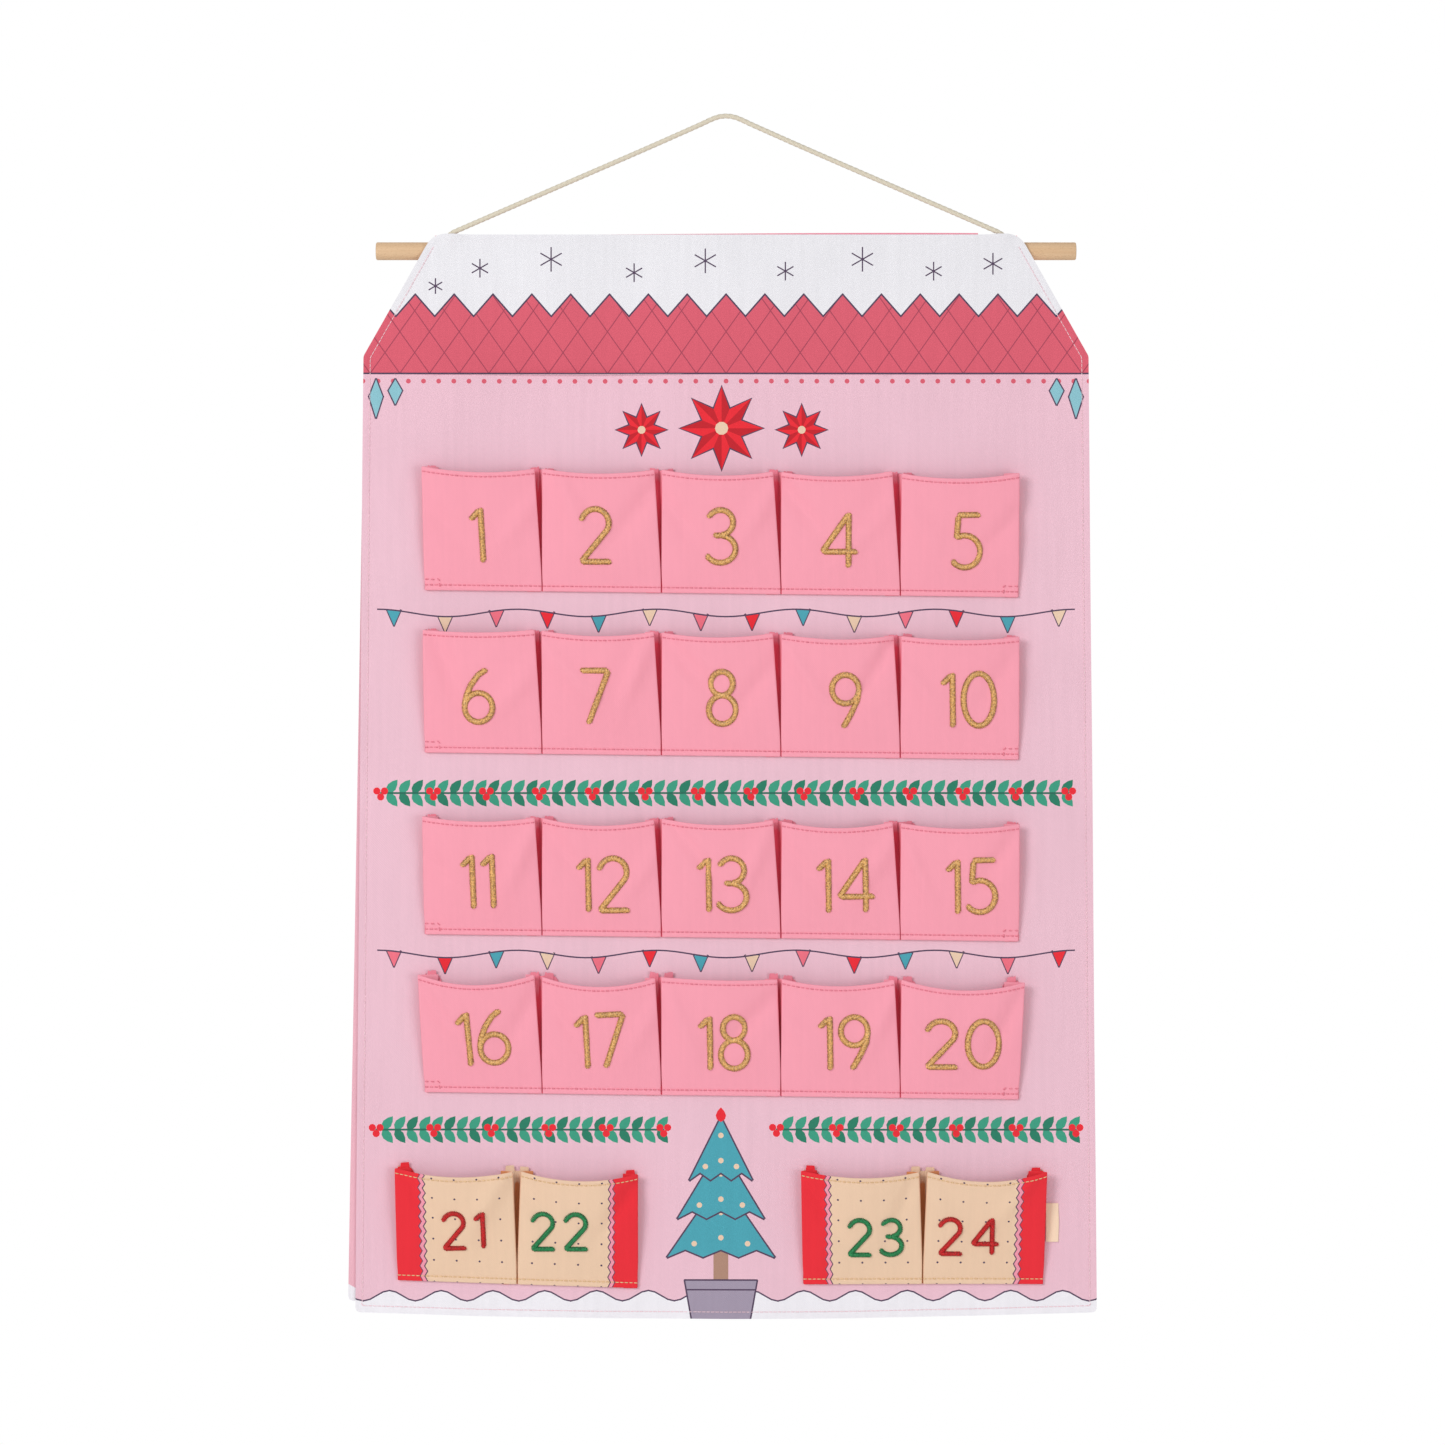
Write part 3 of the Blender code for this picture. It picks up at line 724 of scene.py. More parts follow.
def front_point(pocket, across, up):
    """A place on a pocket's front, from -1 to 1 across it and a height above its foot, in metres."""
    row, grown = growth(pocket, up)
    low, high = front_ends(pocket, row)
    x = low + (high - low) * (across + 1) / 2
    foot_round = 0.0003 * max(0.0, 1 - up / 0.0008) ** 2
    depth = (0.0072 + 0.0032 * (1 - across * across)) * grown
    for fold_x, fold_z, angle, width, length, rise in pocket.folds:
        along = (x - fold_x) * math.cos(angle) + (up - fold_z) * math.sin(angle)
        off = (up - fold_z) * math.cos(angle) - (x - fold_x) * math.sin(angle)
        depth += rise * grown * math.exp(-(off / width) ** 2 - (along / length) ** 2)
    # The cloth puckers along its two lines of stitches and is drawn in under them.
    for level, size, length, groove in ((foot_stitch_rise, 0.00022, 0.0068, 0.00009),
                                        (pocket.height - mouth_stitch_drop, 0.00020, 0.0078, 0.00016)):
        near = math.exp(-((up - level) / 0.0035) ** 2)
        depth += size * near * math.sin(2 * math.pi * x / length + pocket.phase)
        depth -= groove * math.exp(-((up - level) / 0.0008) ** 2)
    place_x = pocket.x + x
    place_z = pocket.foot + (up - mouth_drop(pocket, across) * row * row) - pocket.slope * x
    return Vector((place_x, foot_front + foot_round - depth + drape(place_x, place_z), place_z))


def front_way(pocket, across, up):
    """The way a pocket's front faces at a place."""
    wide = front_point(pocket, across + 0.02, up) - front_point(pocket, across - 0.02, up)
    tall = front_point(pocket, across, up + 0.001) - front_point(pocket, across, up - 0.001)
    return wide.cross(tall).normalized()


def pocket_section(pocket, up):
    """A level cut through a pocket, from the inner fold of its left gusset round to that of its right one."""
    front = [front_point(pocket, -1 + k / 13, up) for k in range(27)]
    section = front
    for side, edge in ((-1, front[0]), (1, front[-1])):
        # A tucked gusset ends 10.5 mm inside the seam. The gusset at a row's left end opens outwards.
        inward = 0.0105 if pocket.tucked[side > 0] else -0.0012 * growth(pocket, up)[0]
        fold = Vector((pocket.x + side * (pocket.half - inward), 0, edge.z))
        fold.y = -0.0014 + drape(fold.x, fold.z)
        radius = min(0.0011, (fold.y - edge.y) / 2.2)
        turn = [edge + Vector((side * radius * math.sin(a), radius * (1 - math.cos(a)), 0))
                for a in (0.7, 1.35, 2.0, 2.6)]
        gusset = turn + [turn[-1].lerp(fold, share) for share in (0.25, 0.5, 0.75, 1.0)]
        section = section + gusset if side > 0 else gusset[::-1] + section
    return section


def woven_sheet(name, rows, cut_place=None, left_out=None):
    """A sheet through rows of places, and its area. Its UV map says where each place lies on flat cloth."""
    sheet = bmesh.new()
    cut = sheet.loops.layers.uv.new("cut") if cut_place else None
    grid = [[sheet.verts.new(place) for place in row] for row in rows]
    for row in range(len(rows) - 1):
        for column in range(len(rows[0]) - 1):
            if left_out and left_out(row, column):
                continue
            corners = ((row, column), (row, column + 1), (row + 1, column + 1), (row + 1, column))
            face = sheet.faces.new([grid[i][j] for i, j in corners])
            if cut_place:
                for loop, corner in zip(face.loops, corners):
                    loop[cut].uv = cut_place(*corner)
    bmesh.ops.delete(sheet, geom=[v for v in sheet.verts if not v.link_faces], context="VERTS")
    area = sum(face.calc_area() for face in sheet.faces)
    return made(name, sheet), area


def make_pocket_cloth(pocket):
    """One pocket as a sheet of cloth, turned in at the mouth, with its flat width and its area."""
    height = pocket.height
    levels = [0.0, 0.0005, 0.0012, 0.0024, 0.0032, 0.0037, 0.0042, 0.0052, 0.0075]
    levels += [0.0075 + (height - 0.0155) * k / 11 for k in range(1, 12)]
    levels += [height - drop for drop in (0.0058, 0.0042, 0.0036, 0.0031, 0.0026, 0.0016, 0.0006)]
    cuts = [(level, 0.0, 0.0) for level in levels]
    # The hem is turned in at the mouth and follows the front down behind it.
    for inward, rise in ((0.0002, 0.0), (0.0006, 0.00025), (0.0010, 0.0), (0.0012, -0.0008),
                         (0.0012, -0.0032), (0.0011, -0.0066)):
        cuts.append((height + min(rise, 0.0), inward, max(rise, 0.0)))
    rows = []
    for level, inward, rise in cuts:
        section = pocket_section(pocket, level)
        line = []
        for index, place in enumerate(section):
            run = section[min(index + 1, len(section) - 1)] - section[max(index - 1, 0)]
            line.append(place + Vector((-run.y, run.x, 0)).normalized() * inward + Vector((0, 0, rise)))
        rows.append(line)
    runs = running_lengths(rows[len(rows) // 2])
    ups = levels + [height + step * 0.0012 for step in range(1, 7)]
    # On the cloth's map the front's two edges lie 38.5 mm from the middle in every pocket.
    front_start, front_end = runs[8], runs[-9]
    middle_run, half_front = (front_start + front_end) / 2, (front_end - front_start) / 2
    overs = []
    for run in runs:
        off = run - middle_run
        on_front = min(abs(off), half_front)
        overs.append(math.copysign(on_front * 0.0385 / half_front + abs(off) - on_front, off) * pocket.way)
    mesh, area = woven_sheet("pocket_cloth", rows, lambda row, column: (overs[column], ups[row]))
    return mesh, runs[-1], area


# Plain-woven cotton, dyed through: matt with a faint bloom. The threads, about 0.35 mm apart in the real
# cloth, are drawn 0.7 mm apart so that they show. The pleats' cotton is painted a deeper pink throughout,
# and cloth in the folds below the mouth deeper still: painted shade of the narrow gaps between the pockets.
cottons = []
for name, colour, kept in (("dyed_plain_cotton", "#F9A2B4", "#F5647C"),
                           ("plain_cotton_pleats_painted_shade", "#F08DA1", "#F35E78")):
    cotton, tree, shader = new_finish(name, colour, 0.86, Sheen_Weight=0.12, Specular_IOR_Level=0.25)
    spot = add(tree, "UVMap", uv_map="cut")
    flat = add(tree, "SeparateXYZ", {0: spot}).outputs
    outside = add(tree, "Math", {0: flat["X"]}, operation="ABSOLUTE")
    in_pleat = add(tree, "MapRange", {"Value": outside, "From Min": 0.0395, "From Max": 0.0415})
    below_mouth = add(tree, "MapRange", {"Value": flat["Y"], "From Min": 0.081, "From Max": 0.064})
    # Below the mouth, cloth in the pleats and gussets takes the deeper colour as painted shade of the gaps.
    pleat_shade_share = add(tree, "Math", {0: in_pleat, 1: below_mouth}, operation="MULTIPLY")
    dyed = add(tree, "Mix", {"Factor": pleat_shade_share, 6: ink(colour), 7: ink(kept)}, data_type="RGBA")
    weave(tree, shader, spot, dyed, 0.7, "Y", 0.018)
    cottons.append(cotton)
pink_cotton, shaded_pleat_cotton = cottons

# The window pockets' cotton is printed: cream with small slate dots, and a red band with a pink zigzag
# braid printed along it at the outer side. Its inner gussets are painted a deeper orange-brown as shade.
window_cotton, tree, shader = new_finish("printed_plain_cotton", "#EBC9AC", 0.86, Sheen_Weight=0.1,
                                         Specular_IOR_Level=0.25)
spot = add(tree, "UVMap", uv_map="cut")
flat = add(tree, "SeparateXYZ", {0: spot}).outputs
zigzag = add(tree, "Math", {0: flat["Y"], 1: 0.0035}, operation="PINGPONG")
edge_place = add(tree, "Math", {0: zigzag, 1: 0.55, 2: 0.0190}, operation="MULTIPLY_ADD")
past_edge = add(tree, "Math", {0: flat["X"], 1: edge_place}, operation="SUBTRACT")
# Inner gussets: a deeper orange-brown, painted shade of the gap between the two window pockets.
in_pleat = add(tree, "MapRange", {"Value": flat["X"], "From Min": -0.0385, "From Max": -0.0415})
printed = add(tree, "Mix", {"Factor": in_pleat, 6: ink("#ECCBAE"), 7: ink("#DC905E")}, data_type="RGBA")
dot_x = add(tree, "Math", {0: flat["X"], 1: 0.0075}, operation="PINGPONG")
dot_y = add(tree, "Math", {0: flat["Y"], 1: 0.0075}, operation="PINGPONG")
dot_far = add(tree, "VectorMath", {0: add(tree, "CombineXYZ", {"X": dot_x, "Y": dot_y})}, operation="LENGTH")
is_dot = add(tree, "Math", {0: dot_far, 1: 0.0007}, operation="LESS_THAN")
printed = add(tree, "Mix", {"Factor": is_dot, 6: printed, 7: ink(slate)}, data_type="RGBA")
for limit, colour in ((0.0, slate), (0.0008, "#F29AAE"), (0.0032, slate), (0.0038, red)):
    beyond = add(tree, "Math", {0: past_edge, 1: limit}, operation="GREATER_THAN")
    printed = add(tree, "Mix", {"Factor": beyond, 6: printed, 7: ink(colour)}, data_type="RGBA")
weave(tree, shader, spot, printed, 0.7, "Y", 0.025)

for pocket in pockets:
    mesh, width, area = make_pocket_cloth(pocket)
    name = f"pocket_{pocket.number:02d}"
    piece = place_in_room(name + "_cloth", mesh, window_cotton if pocket.window else pink_cotton)
    thicken(piece, 0.0005)
    soft_bends = piece.modifiers.new("soft bends", "SUBSURF")
    soft_bends.levels = 1
    soft_bends.render_levels = 1
    settle(piece)
    # The pocket's middle on the cloth and the way square to the cloth's own slope there are worked out, but
    # not used.
    x, z, near = pocket.x, pocket.foot + pocket.height / 2, 0.035
    middle = Vector((x, drape(x, z), z))
    square = Vector(((drape(x + near, z) - drape(x - near, z)) / (2 * near), -1,
                     (drape(x, z + near) - drape(x, z - near)) / (2 * near))).normalized()
    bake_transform(piece)
    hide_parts(name)


# Pleats and foot of each row. Behind the fronts the strip lies flat on the panel, 11 mm to each side of
# every vertical seam, and a narrow foot joins these plies under the bottom stitching.
def comb_columns(row):
    """The columns (x, rise, bulge) of a row's plies and foot. Where only the foot goes, the bulge is None."""
    first, pitch = row[0], row[0].half * 2
    left = first.x - first.half
    chance = random.Random(first.number)
    near = [part / 1000 for part in (-11, -10, -9, -8.2, -7.6, -6, -4.4, -3.6, -3, -2.2, -1.6, -0.8, 0)]
    near += [-part for part in reversed(near[:-1])]
    columns = []
    for seam in range(len(row) + 1):
        low, high = (0.0, 0.0012) if first.number < 16 else (0.0016, 0.0032)
        rises = {side: chance.uniform(low, high) for side in (-1, 0, 1)}
        tilts = {side: chance.uniform(-0.0006, 0.0006) for side in (-1, 0, 1)}
        inset = 0.0014 * (seam == 0) - 0.0008 * (seam == len(row))
        for part in near:
            if (seam == 0 and part < 0) or (seam == len(row) and part > 0):
                continue
            side = (part > 0) - (part < 0)
            out = abs(part)
            rise = rises[side] + tilts[side] * (out - 0.005) / 0.003
            if out < 0.0018:
                rise = -0.0006
            elif out > 0.0080:
                rise = -0.0008 - 0.0035 * ((out - 0.0080) / 0.003) ** 2
            elif 0.0031 < out < 0.0040 and len(row) > 2:
                rise -= 0.0007
            bulge = 0.0013 if 0.002 < out < 0.0078 else 0.0
            columns.append((left + seam * pitch + inset + part, rise, bulge))
        if seam < len(row):
            columns += [(left + seam * pitch + pitch * share, 0.0, None)
                        for share in (0.25, 0.42, 0.58, 0.75)]
    return columns


def make_comb(row):
    """The back plies and the foot of one row, as one comb-shaped sheet on the panel, and its area."""
    first, height = row[0], row[0].height
    columns = comb_columns(row)
    left, right = first.x - first.half, row[-1].x + first.half
    middle = (left + right) / 2
    foot = sum(pocket.foot for pocket in row) / len(row)
    ups = [0.0004, 0.0038, *(0.0038 + (height - 0.0038) * k / 8 for k in range(1, 8)), height - 0.004, height]
    lines = []
    for up in ups:
        ridge = 0.0004 if up > height - 0.001 else 0.0
        line = []
        for x, rise, bulge in columns:
            z = foot + up + rise * (up / height) ** 3 - first.slope * (x - middle)
            line.append(Vector((x, -0.0011 - ridge - (bulge or 0) * (up / height) ** 5 + drape(x, z), z)))
        lines.append(line)

    def cut_place(level, column):
        """Pink rows' pleats more than 8 mm below the mouth are mapped into the painted shade of the gaps."""
        x, _, z = lines[level][column]
        hidden = z < foot + height - 0.008
        if len(row) > 2:
            return 0.0425 if hidden else 0.0390, z
        return 0.045 - min(x - left, right - x) * (1.07 if hidden else 0.98), z

    return woven_sheet("pleats", lines, cut_place, lambda level, column:
                       level > 0 and None in (columns[column][2], columns[column + 1][2]))


for hem, row in rows.items():
    mesh, area = make_comb(row)
    window = row[0].window
    piece = place_in_room(hem + "_pleats", mesh, window_cotton if window else shaded_pleat_cotton)
    thicken(piece, 0.0005)
    settle(piece, 50)
    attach(piece, "panel")
    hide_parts(hem)

# Seams of the pockets: stitches along each mouth and each row's foot, and down the two outer vertical seams
# of a row. The inner ones are hidden in the folds. The thread matches the cloth and is a shade deeper, and
# is cream on the window pockets.
pink_thread = thread_finish("pink_polyester_thread", "#F08DA0", "#D8697F", 0.6, 0.4)
cream_thread = thread_finish("cream_polyester_thread", "#EBCB9C", "#D8B080", 0.6, 0.4)
pocket_stitch = {"Stitch Step": 0.0031, "Stitch Length": 0.0020, "Rise": 0.0009, "Thread Radius": 0.00036}
steps = [-0.985 + 1.97 * k / 40 for k in range(41)]
for hem, row in rows.items():
    window = row[0].window
    sizes = dict(pocket_stitch, Thread=cream_thread if window else pink_thread)
    foot_lines = []
    for pocket in row:
        body = f"pocket_{pocket.number:02d}"
        up = pocket.height - mouth_stitch_drop
        mouth_line = [(front_point(pocket, across, up), front_way(pocket, across, up)) for across in steps]
        stitches = sew(body + "_mouth_stitches", [mouth_line], running_stitch, sizes, body)
        foot_lines.append([(front_point(pocket, across, foot_stitch_rise), forward) for across in steps])
    for pocket, side in ((row[0], -1), (row[-1], 1)):
        x = pocket.x + side * (pocket.half - pocket.insets[side > 0])
        line = []
        for k in range(11):
            z = pocket.foot - side * pocket.slope * pocket.half + 0.005 + (pocket.height - 0.006) * k / 10
            line.append((Vector((x, -0.0006 + drape(x, z), z)), forward))
        foot_lines.append(line)
        if window:
            continue
        # A small box of stitches locks the corner.
        box = []
        corners = [(0.76, foot_stitch_rise), (0.76, 0.0072), (0.98, 0.0074)]
        for (start, low), (end, high) in zip(corners, corners[1:]):
            box += [(front_point(pocket, side * (start + (end - start) * k / 6), low + (high - low) * k / 6),
                     forward) for k in range(7)]
        foot_lines.append(box)
    stitches = sew(hem + "_stitches", foot_lines, running_stitch, sizes, "panel")


# Embroidered numbers. Machine satin stitch in glossy rayon thread: threads laid side by side across each
# stroke, a little slanted, arched over padding and drawn in at both cloth edges. The threads, about 0.4 mm
# apart in the real thing, are drawn 0.95 mm apart so that they show.
def arc(x, z, rx, rz, start, end, steps=16):
    """Points of an arc from one angle to another, in degrees anticlockwise from the right."""
    turns = [math.radians(start + (end - start) * k / steps) for k in range(steps + 1)]
    return [(x + rx * math.cos(turn), z + rz * math.sin(turn)) for turn in turns]


# Strokes of each figure in a cell one unit tall, with its width.
figures = {
    "0": (0.60, [arc(0.30, 0.5, 0.285, 0.485, 100, 470, 30)]),
    "1": (0.20, [[(0.0, 0.80), (0.17, 0.97)], [(0.185, 0.985), (0.185, 0.015)]]),
    "2": (0.57, [arc(0.275, 0.725, 0.255, 0.26, 168, -28, 16) + [(0.03, 0.03)],
                 [(0.02, 0.015), (0.56, 0.015)]]),
    "3": (0.53, [arc(0.24, 0.755, 0.235, 0.23, 155, -85, 18), arc(0.23, 0.265, 0.28, 0.25, 88, -155, 20),
                 [(0.12, 0.515), (0.26, 0.52)]]),
    "4": (0.66, [[(0.50, 0.985), (0.02, 0.30)], [(0.02, 0.29), (0.65, 0.29)], [(0.50, 0.99), (0.50, 0.015)]]),
    "5": (0.52, [[(0.50, 0.985), (0.11, 0.985)], [(0.11, 0.97), (0.075, 0.57)],
                 [(0.075, 0.56)] + arc(0.22, 0.315, 0.285, 0.295, 105, -145, 20)]),
    "6": (0.55, [[(0.43, 0.985), (0.28, 0.885), (0.14, 0.70), (0.05, 0.50), (0.015, 0.33)],
                 arc(0.275, 0.285, 0.26, 0.27, 180, 545, 26)]),
    "7": (0.52, [[(0.01, 0.985), (0.51, 0.985)], [(0.51, 0.97), (0.15, 0.015)]]),
    "8": (0.52, [arc(0.26, 0.765, 0.205, 0.22, -90, 275, 24), arc(0.26, 0.28, 0.25, 0.265, 90, 455, 26)]),
    "9": (0.53, [arc(0.265, 0.715, 0.25, 0.265, 0, 365, 26),
                 [(0.515, 0.72), (0.49, 0.52), (0.36, 0.25), (0.22, 0.015)]]),
}

satin_stitch, given, outcome = new_tree("satin_stitch", "Thread Step", "Stroke Width", "Rise",
                                        "Thread Radius", "Slant")
one_thread = thread_arch(satin_stitch, given, given["Stroke Width"], "X")
# The threads get shorter and lower towards both ends of a stroke, which makes them round.
gone = add(satin_stitch, "GeometryNodeSplineParameter").outputs["Length"]
whole = add(satin_stitch, "GeometryNodeSplineLength")
left_over = add(satin_stitch, "Math", {0: whole, 1: gone}, operation="SUBTRACT")
from_end = add(satin_stitch, "Math", {0: gone, 1: left_over}, operation="MINIMUM")
part = add(satin_stitch, "Math", {0: from_end, 1: given["Stroke Width"]}, operation="DIVIDE")
part = add(satin_stitch, "Math", {0: part, 1: 3.6, 2: 0.22}, operation="MULTIPLY_ADD", use_clamp=True)
other = add(satin_stitch, "Math", {0: 2.0, 1: part}, operation="SUBTRACT")
square = add(satin_stitch, "Math", {0: part, 1: other}, operation="MULTIPLY")
rounding = add(satin_stitch, "Math", {0: square}, operation="SQRT")
uneven_reach = add(satin_stitch, "FunctionNodeRandomValue", {2: 0.95, 3: 1.04, "Seed": 7})
wide = add(satin_stitch, "Math", {0: rounding, 1: uneven_reach}, operation="MULTIPLY")
shape = add(satin_stitch, "CombineXYZ", {"X": wide, "Y": 1.0, "Z": rounding})
lay_along(satin_stitch, given, outcome, given["Thread Step"], one_thread, given["Slant"], shape)

gold_thread = thread_finish("gold_rayon_thread", "#F6C170", "#85500F", 0.28, 1.0)
red_rayon = thread_finish("red_rayon_thread", "#DA181C", "#860808", 0.38, 0.45)
green_rayon = thread_finish("green_rayon_thread", "#1B9454", "#064A2C", 0.38, 0.45)
# Where each number's middle was measured in the photograph, in its pixels, and how many degrees it leans.
number_places = (
    (478, 536, 3), (596, 536, 0), (722, 537, 1), (839, 541, 0), (966, 542, 1), (479, 696, 1),
    (595, 697, 0), (722, 698, 1), (845, 701, 1), (968, 700, 1), (479, 881, 2), (604, 884, 1),
    (723, 884, 1), (846, 885, 1), (971, 886, 1), (484, 1037, 5), (601, 1040, 3), (724, 1042, 1),
    (844, 1042, 1), (962, 1043, 0), (464, 1229, 2), (560, 1230, 0), (875, 1236, 0), (968, 1235, 0))
pixel, origin_x, origin_z = 0.000675, 726, 119
for pocket, (picture_x, picture_z, lean) in zip(pockets, number_places):
    number = pocket.number
    middle_x = (picture_x - origin_x) * pixel
    middle_z = (origin_z - picture_z) * pixel
    tall, stretch, gap = (0.0245, 1.1, 0.28) if pocket.window else (0.0364, 1.0, 0.17)
    if number == 20:
        tall, stretch, gap = 0.0320, 1.16, 0.20
    written = [figures[figure] for figure in str(number)]
    pen = -(sum(width * stretch for width, _ in written) + gap * (len(written) - 1)) / 2
    lean_over = Matrix.Rotation(math.radians(lean), 2)
    lines = []
    for width, strokes in written:
        for stroke in strokes:
            points = [Vector(((pen + x * stretch) * tall, (z - 0.5) * tall)) for x, z in stroke]
            line = []
            for point in stepped(points, 0.0012, closed=False):
                leaning = lean_over @ point
                x = middle_x + leaning.x - pocket.x
                level = middle_z + leaning.y - pocket.foot + pocket.slope * x
                # The mouth's sag moves the cloth down, so the place on it is found in a few rounds.
                up = level
                for _ in range(3):
                    row = growth(pocket, up)[0]
                    low, high = front_ends(pocket, row)
                    across = 2 * (x - low) / (high - low) - 1
                    up = level + mouth_drop(pocket, across) * row * row
                line.append((front_point(pocket, across, up), front_way(pocket, across, up)))
            lines.append(line)
        pen += width * stretch + gap
    thread = gold_thread if not pocket.window else red_rayon if number in (21, 24) else green_rayon
    sizes = {"Thread Step": 0.00095, "Stroke Width": 0.0030 if pocket.window else 0.0037, "Rise": 0.0026,
             "Thread Radius": 0.00050, "Slant": math.radians(16), "Thread": thread}
    piece = sew(f"number_{number:02d}_embroidery", lines, satin_stitch, sizes, f"pocket_{number:02d}")


# Rod casing. A strip of the pocket cotton, sewn to the canvas's back above and below the rod, makes a
# channel. A sliver of it shows above the panel's top edge.
rod_y, rod_z = 0.0067, -0.0888
casing_flat = 0.0011
casing_radius = 0.0067
seam_below, casing_tail = 0.009, 0.008
centre = Vector((rod_y, rod_z))
route = [Vector((casing_flat, top_level / 1000 + 0.0007)), Vector((casing_flat, top_level / 1000 - 0.0007))]
bends = []
for offset, side in ((0.0075, 1), (-seam_below, -1)):
    seam = Vector((casing_flat, rod_z + offset))
    to_seam = seam - centre
    bends.append((seam, math.atan2(to_seam.y, to_seam.x) - side * math.acos(casing_radius / to_seam.length)))
(upper_seam, first_angle), (lower_seam, last_angle) = bends
last_angle -= 2 * math.pi if last_angle > first_angle else 0
route.append(upper_seam)
for step in range(25):
    route.append(centre + casing_radius * toward(first_angle + (last_angle - first_angle) * step / 24))
route += [lower_seam, lower_seam - Vector((0, casing_tail / 2)), lower_seam - Vector((0, casing_tail))]
runs = running_lengths(route)
lines = []
for column in range(69):
    x = -0.170 + 0.340 * column / 68
    pucker = 0.00025 * math.sin(x * 620) + 0.0002 * math.sin(x * 233 + 1)
    line = []
    for place in route:
        away = (place - centre).x
        loose = abs(pucker) * away / casing_radius if away > 0.002 else 0
        line.append(Vector((x, place.x + loose, place.y)))
    line[0].z += 0.0006 * math.sin(x * 13 + 0.1)
    lines.append(line)
mesh, _ = woven_sheet("rod_casing_cloth", lines, lambda column, place: (runs[place] - 0.03, 0.005 * column))
casing = place_in_room("rod_casing_cloth", mesh, pink_cotton)
thicken(casing, 0.0007, offset=0.0)
settle(casing, 60)
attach(casing, "panel")
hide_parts("rod_casing")
seams = [[(Vector((-0.169 + 0.338 * k / 60, casing_flat + 0.0004, level)), backward) for k in range(61)]
         for level in (upper_seam.y, lower_seam.y)]
stitches = sew("casing_stitches", seams, running_stitch, dict(pocket_stitch, Thread=pink_thread), "panel")

# Cord tabs. A small folded piece of the same pink cotton behind each end of the cord, bar-tacked to the
# canvas's hem, so that the end is caught between the two.
for side in (-1, 1):
    lines = []
    for i in range(-8, 9):
        x = side * 0.1875 + i * 0.0011
        swell = math.exp(-(i / 3.2) ** 4)
        lines.append([Vector((x, 0.0007 + 0.0037 * swell * (1 - 0.03 * j), -0.0789 - 0.00095 * j))
                      for j in range(6)])
    mesh, _ = woven_sheet("cord_tab", lines, lambda i, j: (lines[i][j].x - side * 0.1875, lines[i][j].z))
    mesh.flip_normals()
    piece = place_in_room("cord_tab_right" if side > 0 else "cord_tab_left", mesh, pink_cotton)
    thicken(piece, 0.0004, offset=0.0)
    settle(piece, 50)
    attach(piece, "panel")

# Rod. A turned beech dowel, sanded and left raw, sawn square at both ends with the edges just broken. It
# slides out of its casing sideways.
rod_sides = 48
profile = [(-0.2365, 0.0), (-0.2365, 0.0030), (-0.2365, 0.0052), (-0.23635, 0.00555), (-0.2361, 0.00582),
           (-0.2357, 0.0060)]
profile += [(-0.2357 + 0.4714 * k / 24, 0.0060) for k in range(1, 24)]
profile += [(-x, radius) for x, radius in reversed(profile[:6])]
dowel = bmesh.new()
rings = []
for x, radius in profile:
    turns = [toward(2 * math.pi * k / rod_sides) * radius for k in range(rod_sides if radius else 1)]
    rings.append([dowel.verts.new((x, rod_y + turn.x, rod_z + turn.y)) for turn in turns])
for low, high in zip(rings, rings[1:]):
    for k in range(rod_sides):
        near = [low[k], low[(k + 1) % rod_sides]] if len(low) > 1 else low
        far = [high[(k + 1) % rod_sides], high[k]] if len(high) > 1 else high
        face = dowel.faces.new(near + far)
        face.material_index = 1 if min(abs(v.co.x) for v in face.verts) > 0.2363 else 0
bmesh.ops.recalc_face_normals(dowel, faces=dowel.faces)

# Raw beech: pale, with long growth lines and the short darker flecks of its rays, 1 to 3 mm long.
beech, tree, shader = new_finish("sanded_raw_beech", "#DFBB94", 0.62, Specular_IOR_Level=0.35)
spot = add(tree, "TexCoord").outputs["Object"]
long_map = add(tree, "Mapping", {"Vector": spot, "Scale": (9.0, 500.0, 500.0)})
grain = add(tree, "TexNoise", {"Vector": long_map, "Scale": 1.0, "Detail": 4.0, "Roughness": 0.6})
tone = add(tree, "Mix", {"Factor": grain, 6: ink("#CDA47A"), 7: ink("#EBCCA8")}, data_type="RGBA")
fleck_map = add(tree, "Mapping", {"Vector": spot, "Scale": (420.0, 1500.0, 1500.0)})
flecks = add(tree, "TexVoronoi", {"Vector": fleck_map, "Scale": 1.0})
is_fleck = add(tree, "MapRange", {"Value": flecks, "From Min": 0.10, "From Max": 0.24, "To Min": 0.55,
                                  "To Max": 0.0})
flecked = add(tree, "Mix", {"Factor": is_fleck, 6: tone, 7: ink("#A97C55")}, data_type="RGBA")
bump = add(tree, "Bump", {"Height": grain, "Strength": 0.3, "Distance": 0.0001})
wire(shader, {"Base Color": flecked, "Normal": bump})

# Sawn beech end grain: duller and darker, with growth rings about 1.4 mm apart.
end_grain, tree, shader = new_finish("sawn_beech_end_grain", "#CFA67E", 0.8, Specular_IOR_Level=0.25)
spot = add(tree, "TexCoord").outputs["Object"]
off_centre = add(tree, "Mapping", {"Vector": spot, "Location": (0.0, 0.004, 0.098)})
growth_rings = add(tree, "TexWave", {"Vector": off_centre, "Scale": 110.0, "Distortion": 1.2, "Detail": 2.0},
                   wave_type="RINGS", rings_direction="X").outputs["Fac"]
tone = add(tree, "Mix", {"Factor": growth_rings, 6: ink("#B98E66"), 7: ink("#DDB78F")}, data_type="RGBA")
wire(shader, {"Base Color": tone})

rod = place_in_room("rod_dowel", made("rod_dowel", dowel), beech, end_grain)
rod.data.set_sharp_from_angle(angle=math.radians(40))
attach(rod, "rod")
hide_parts("rod")

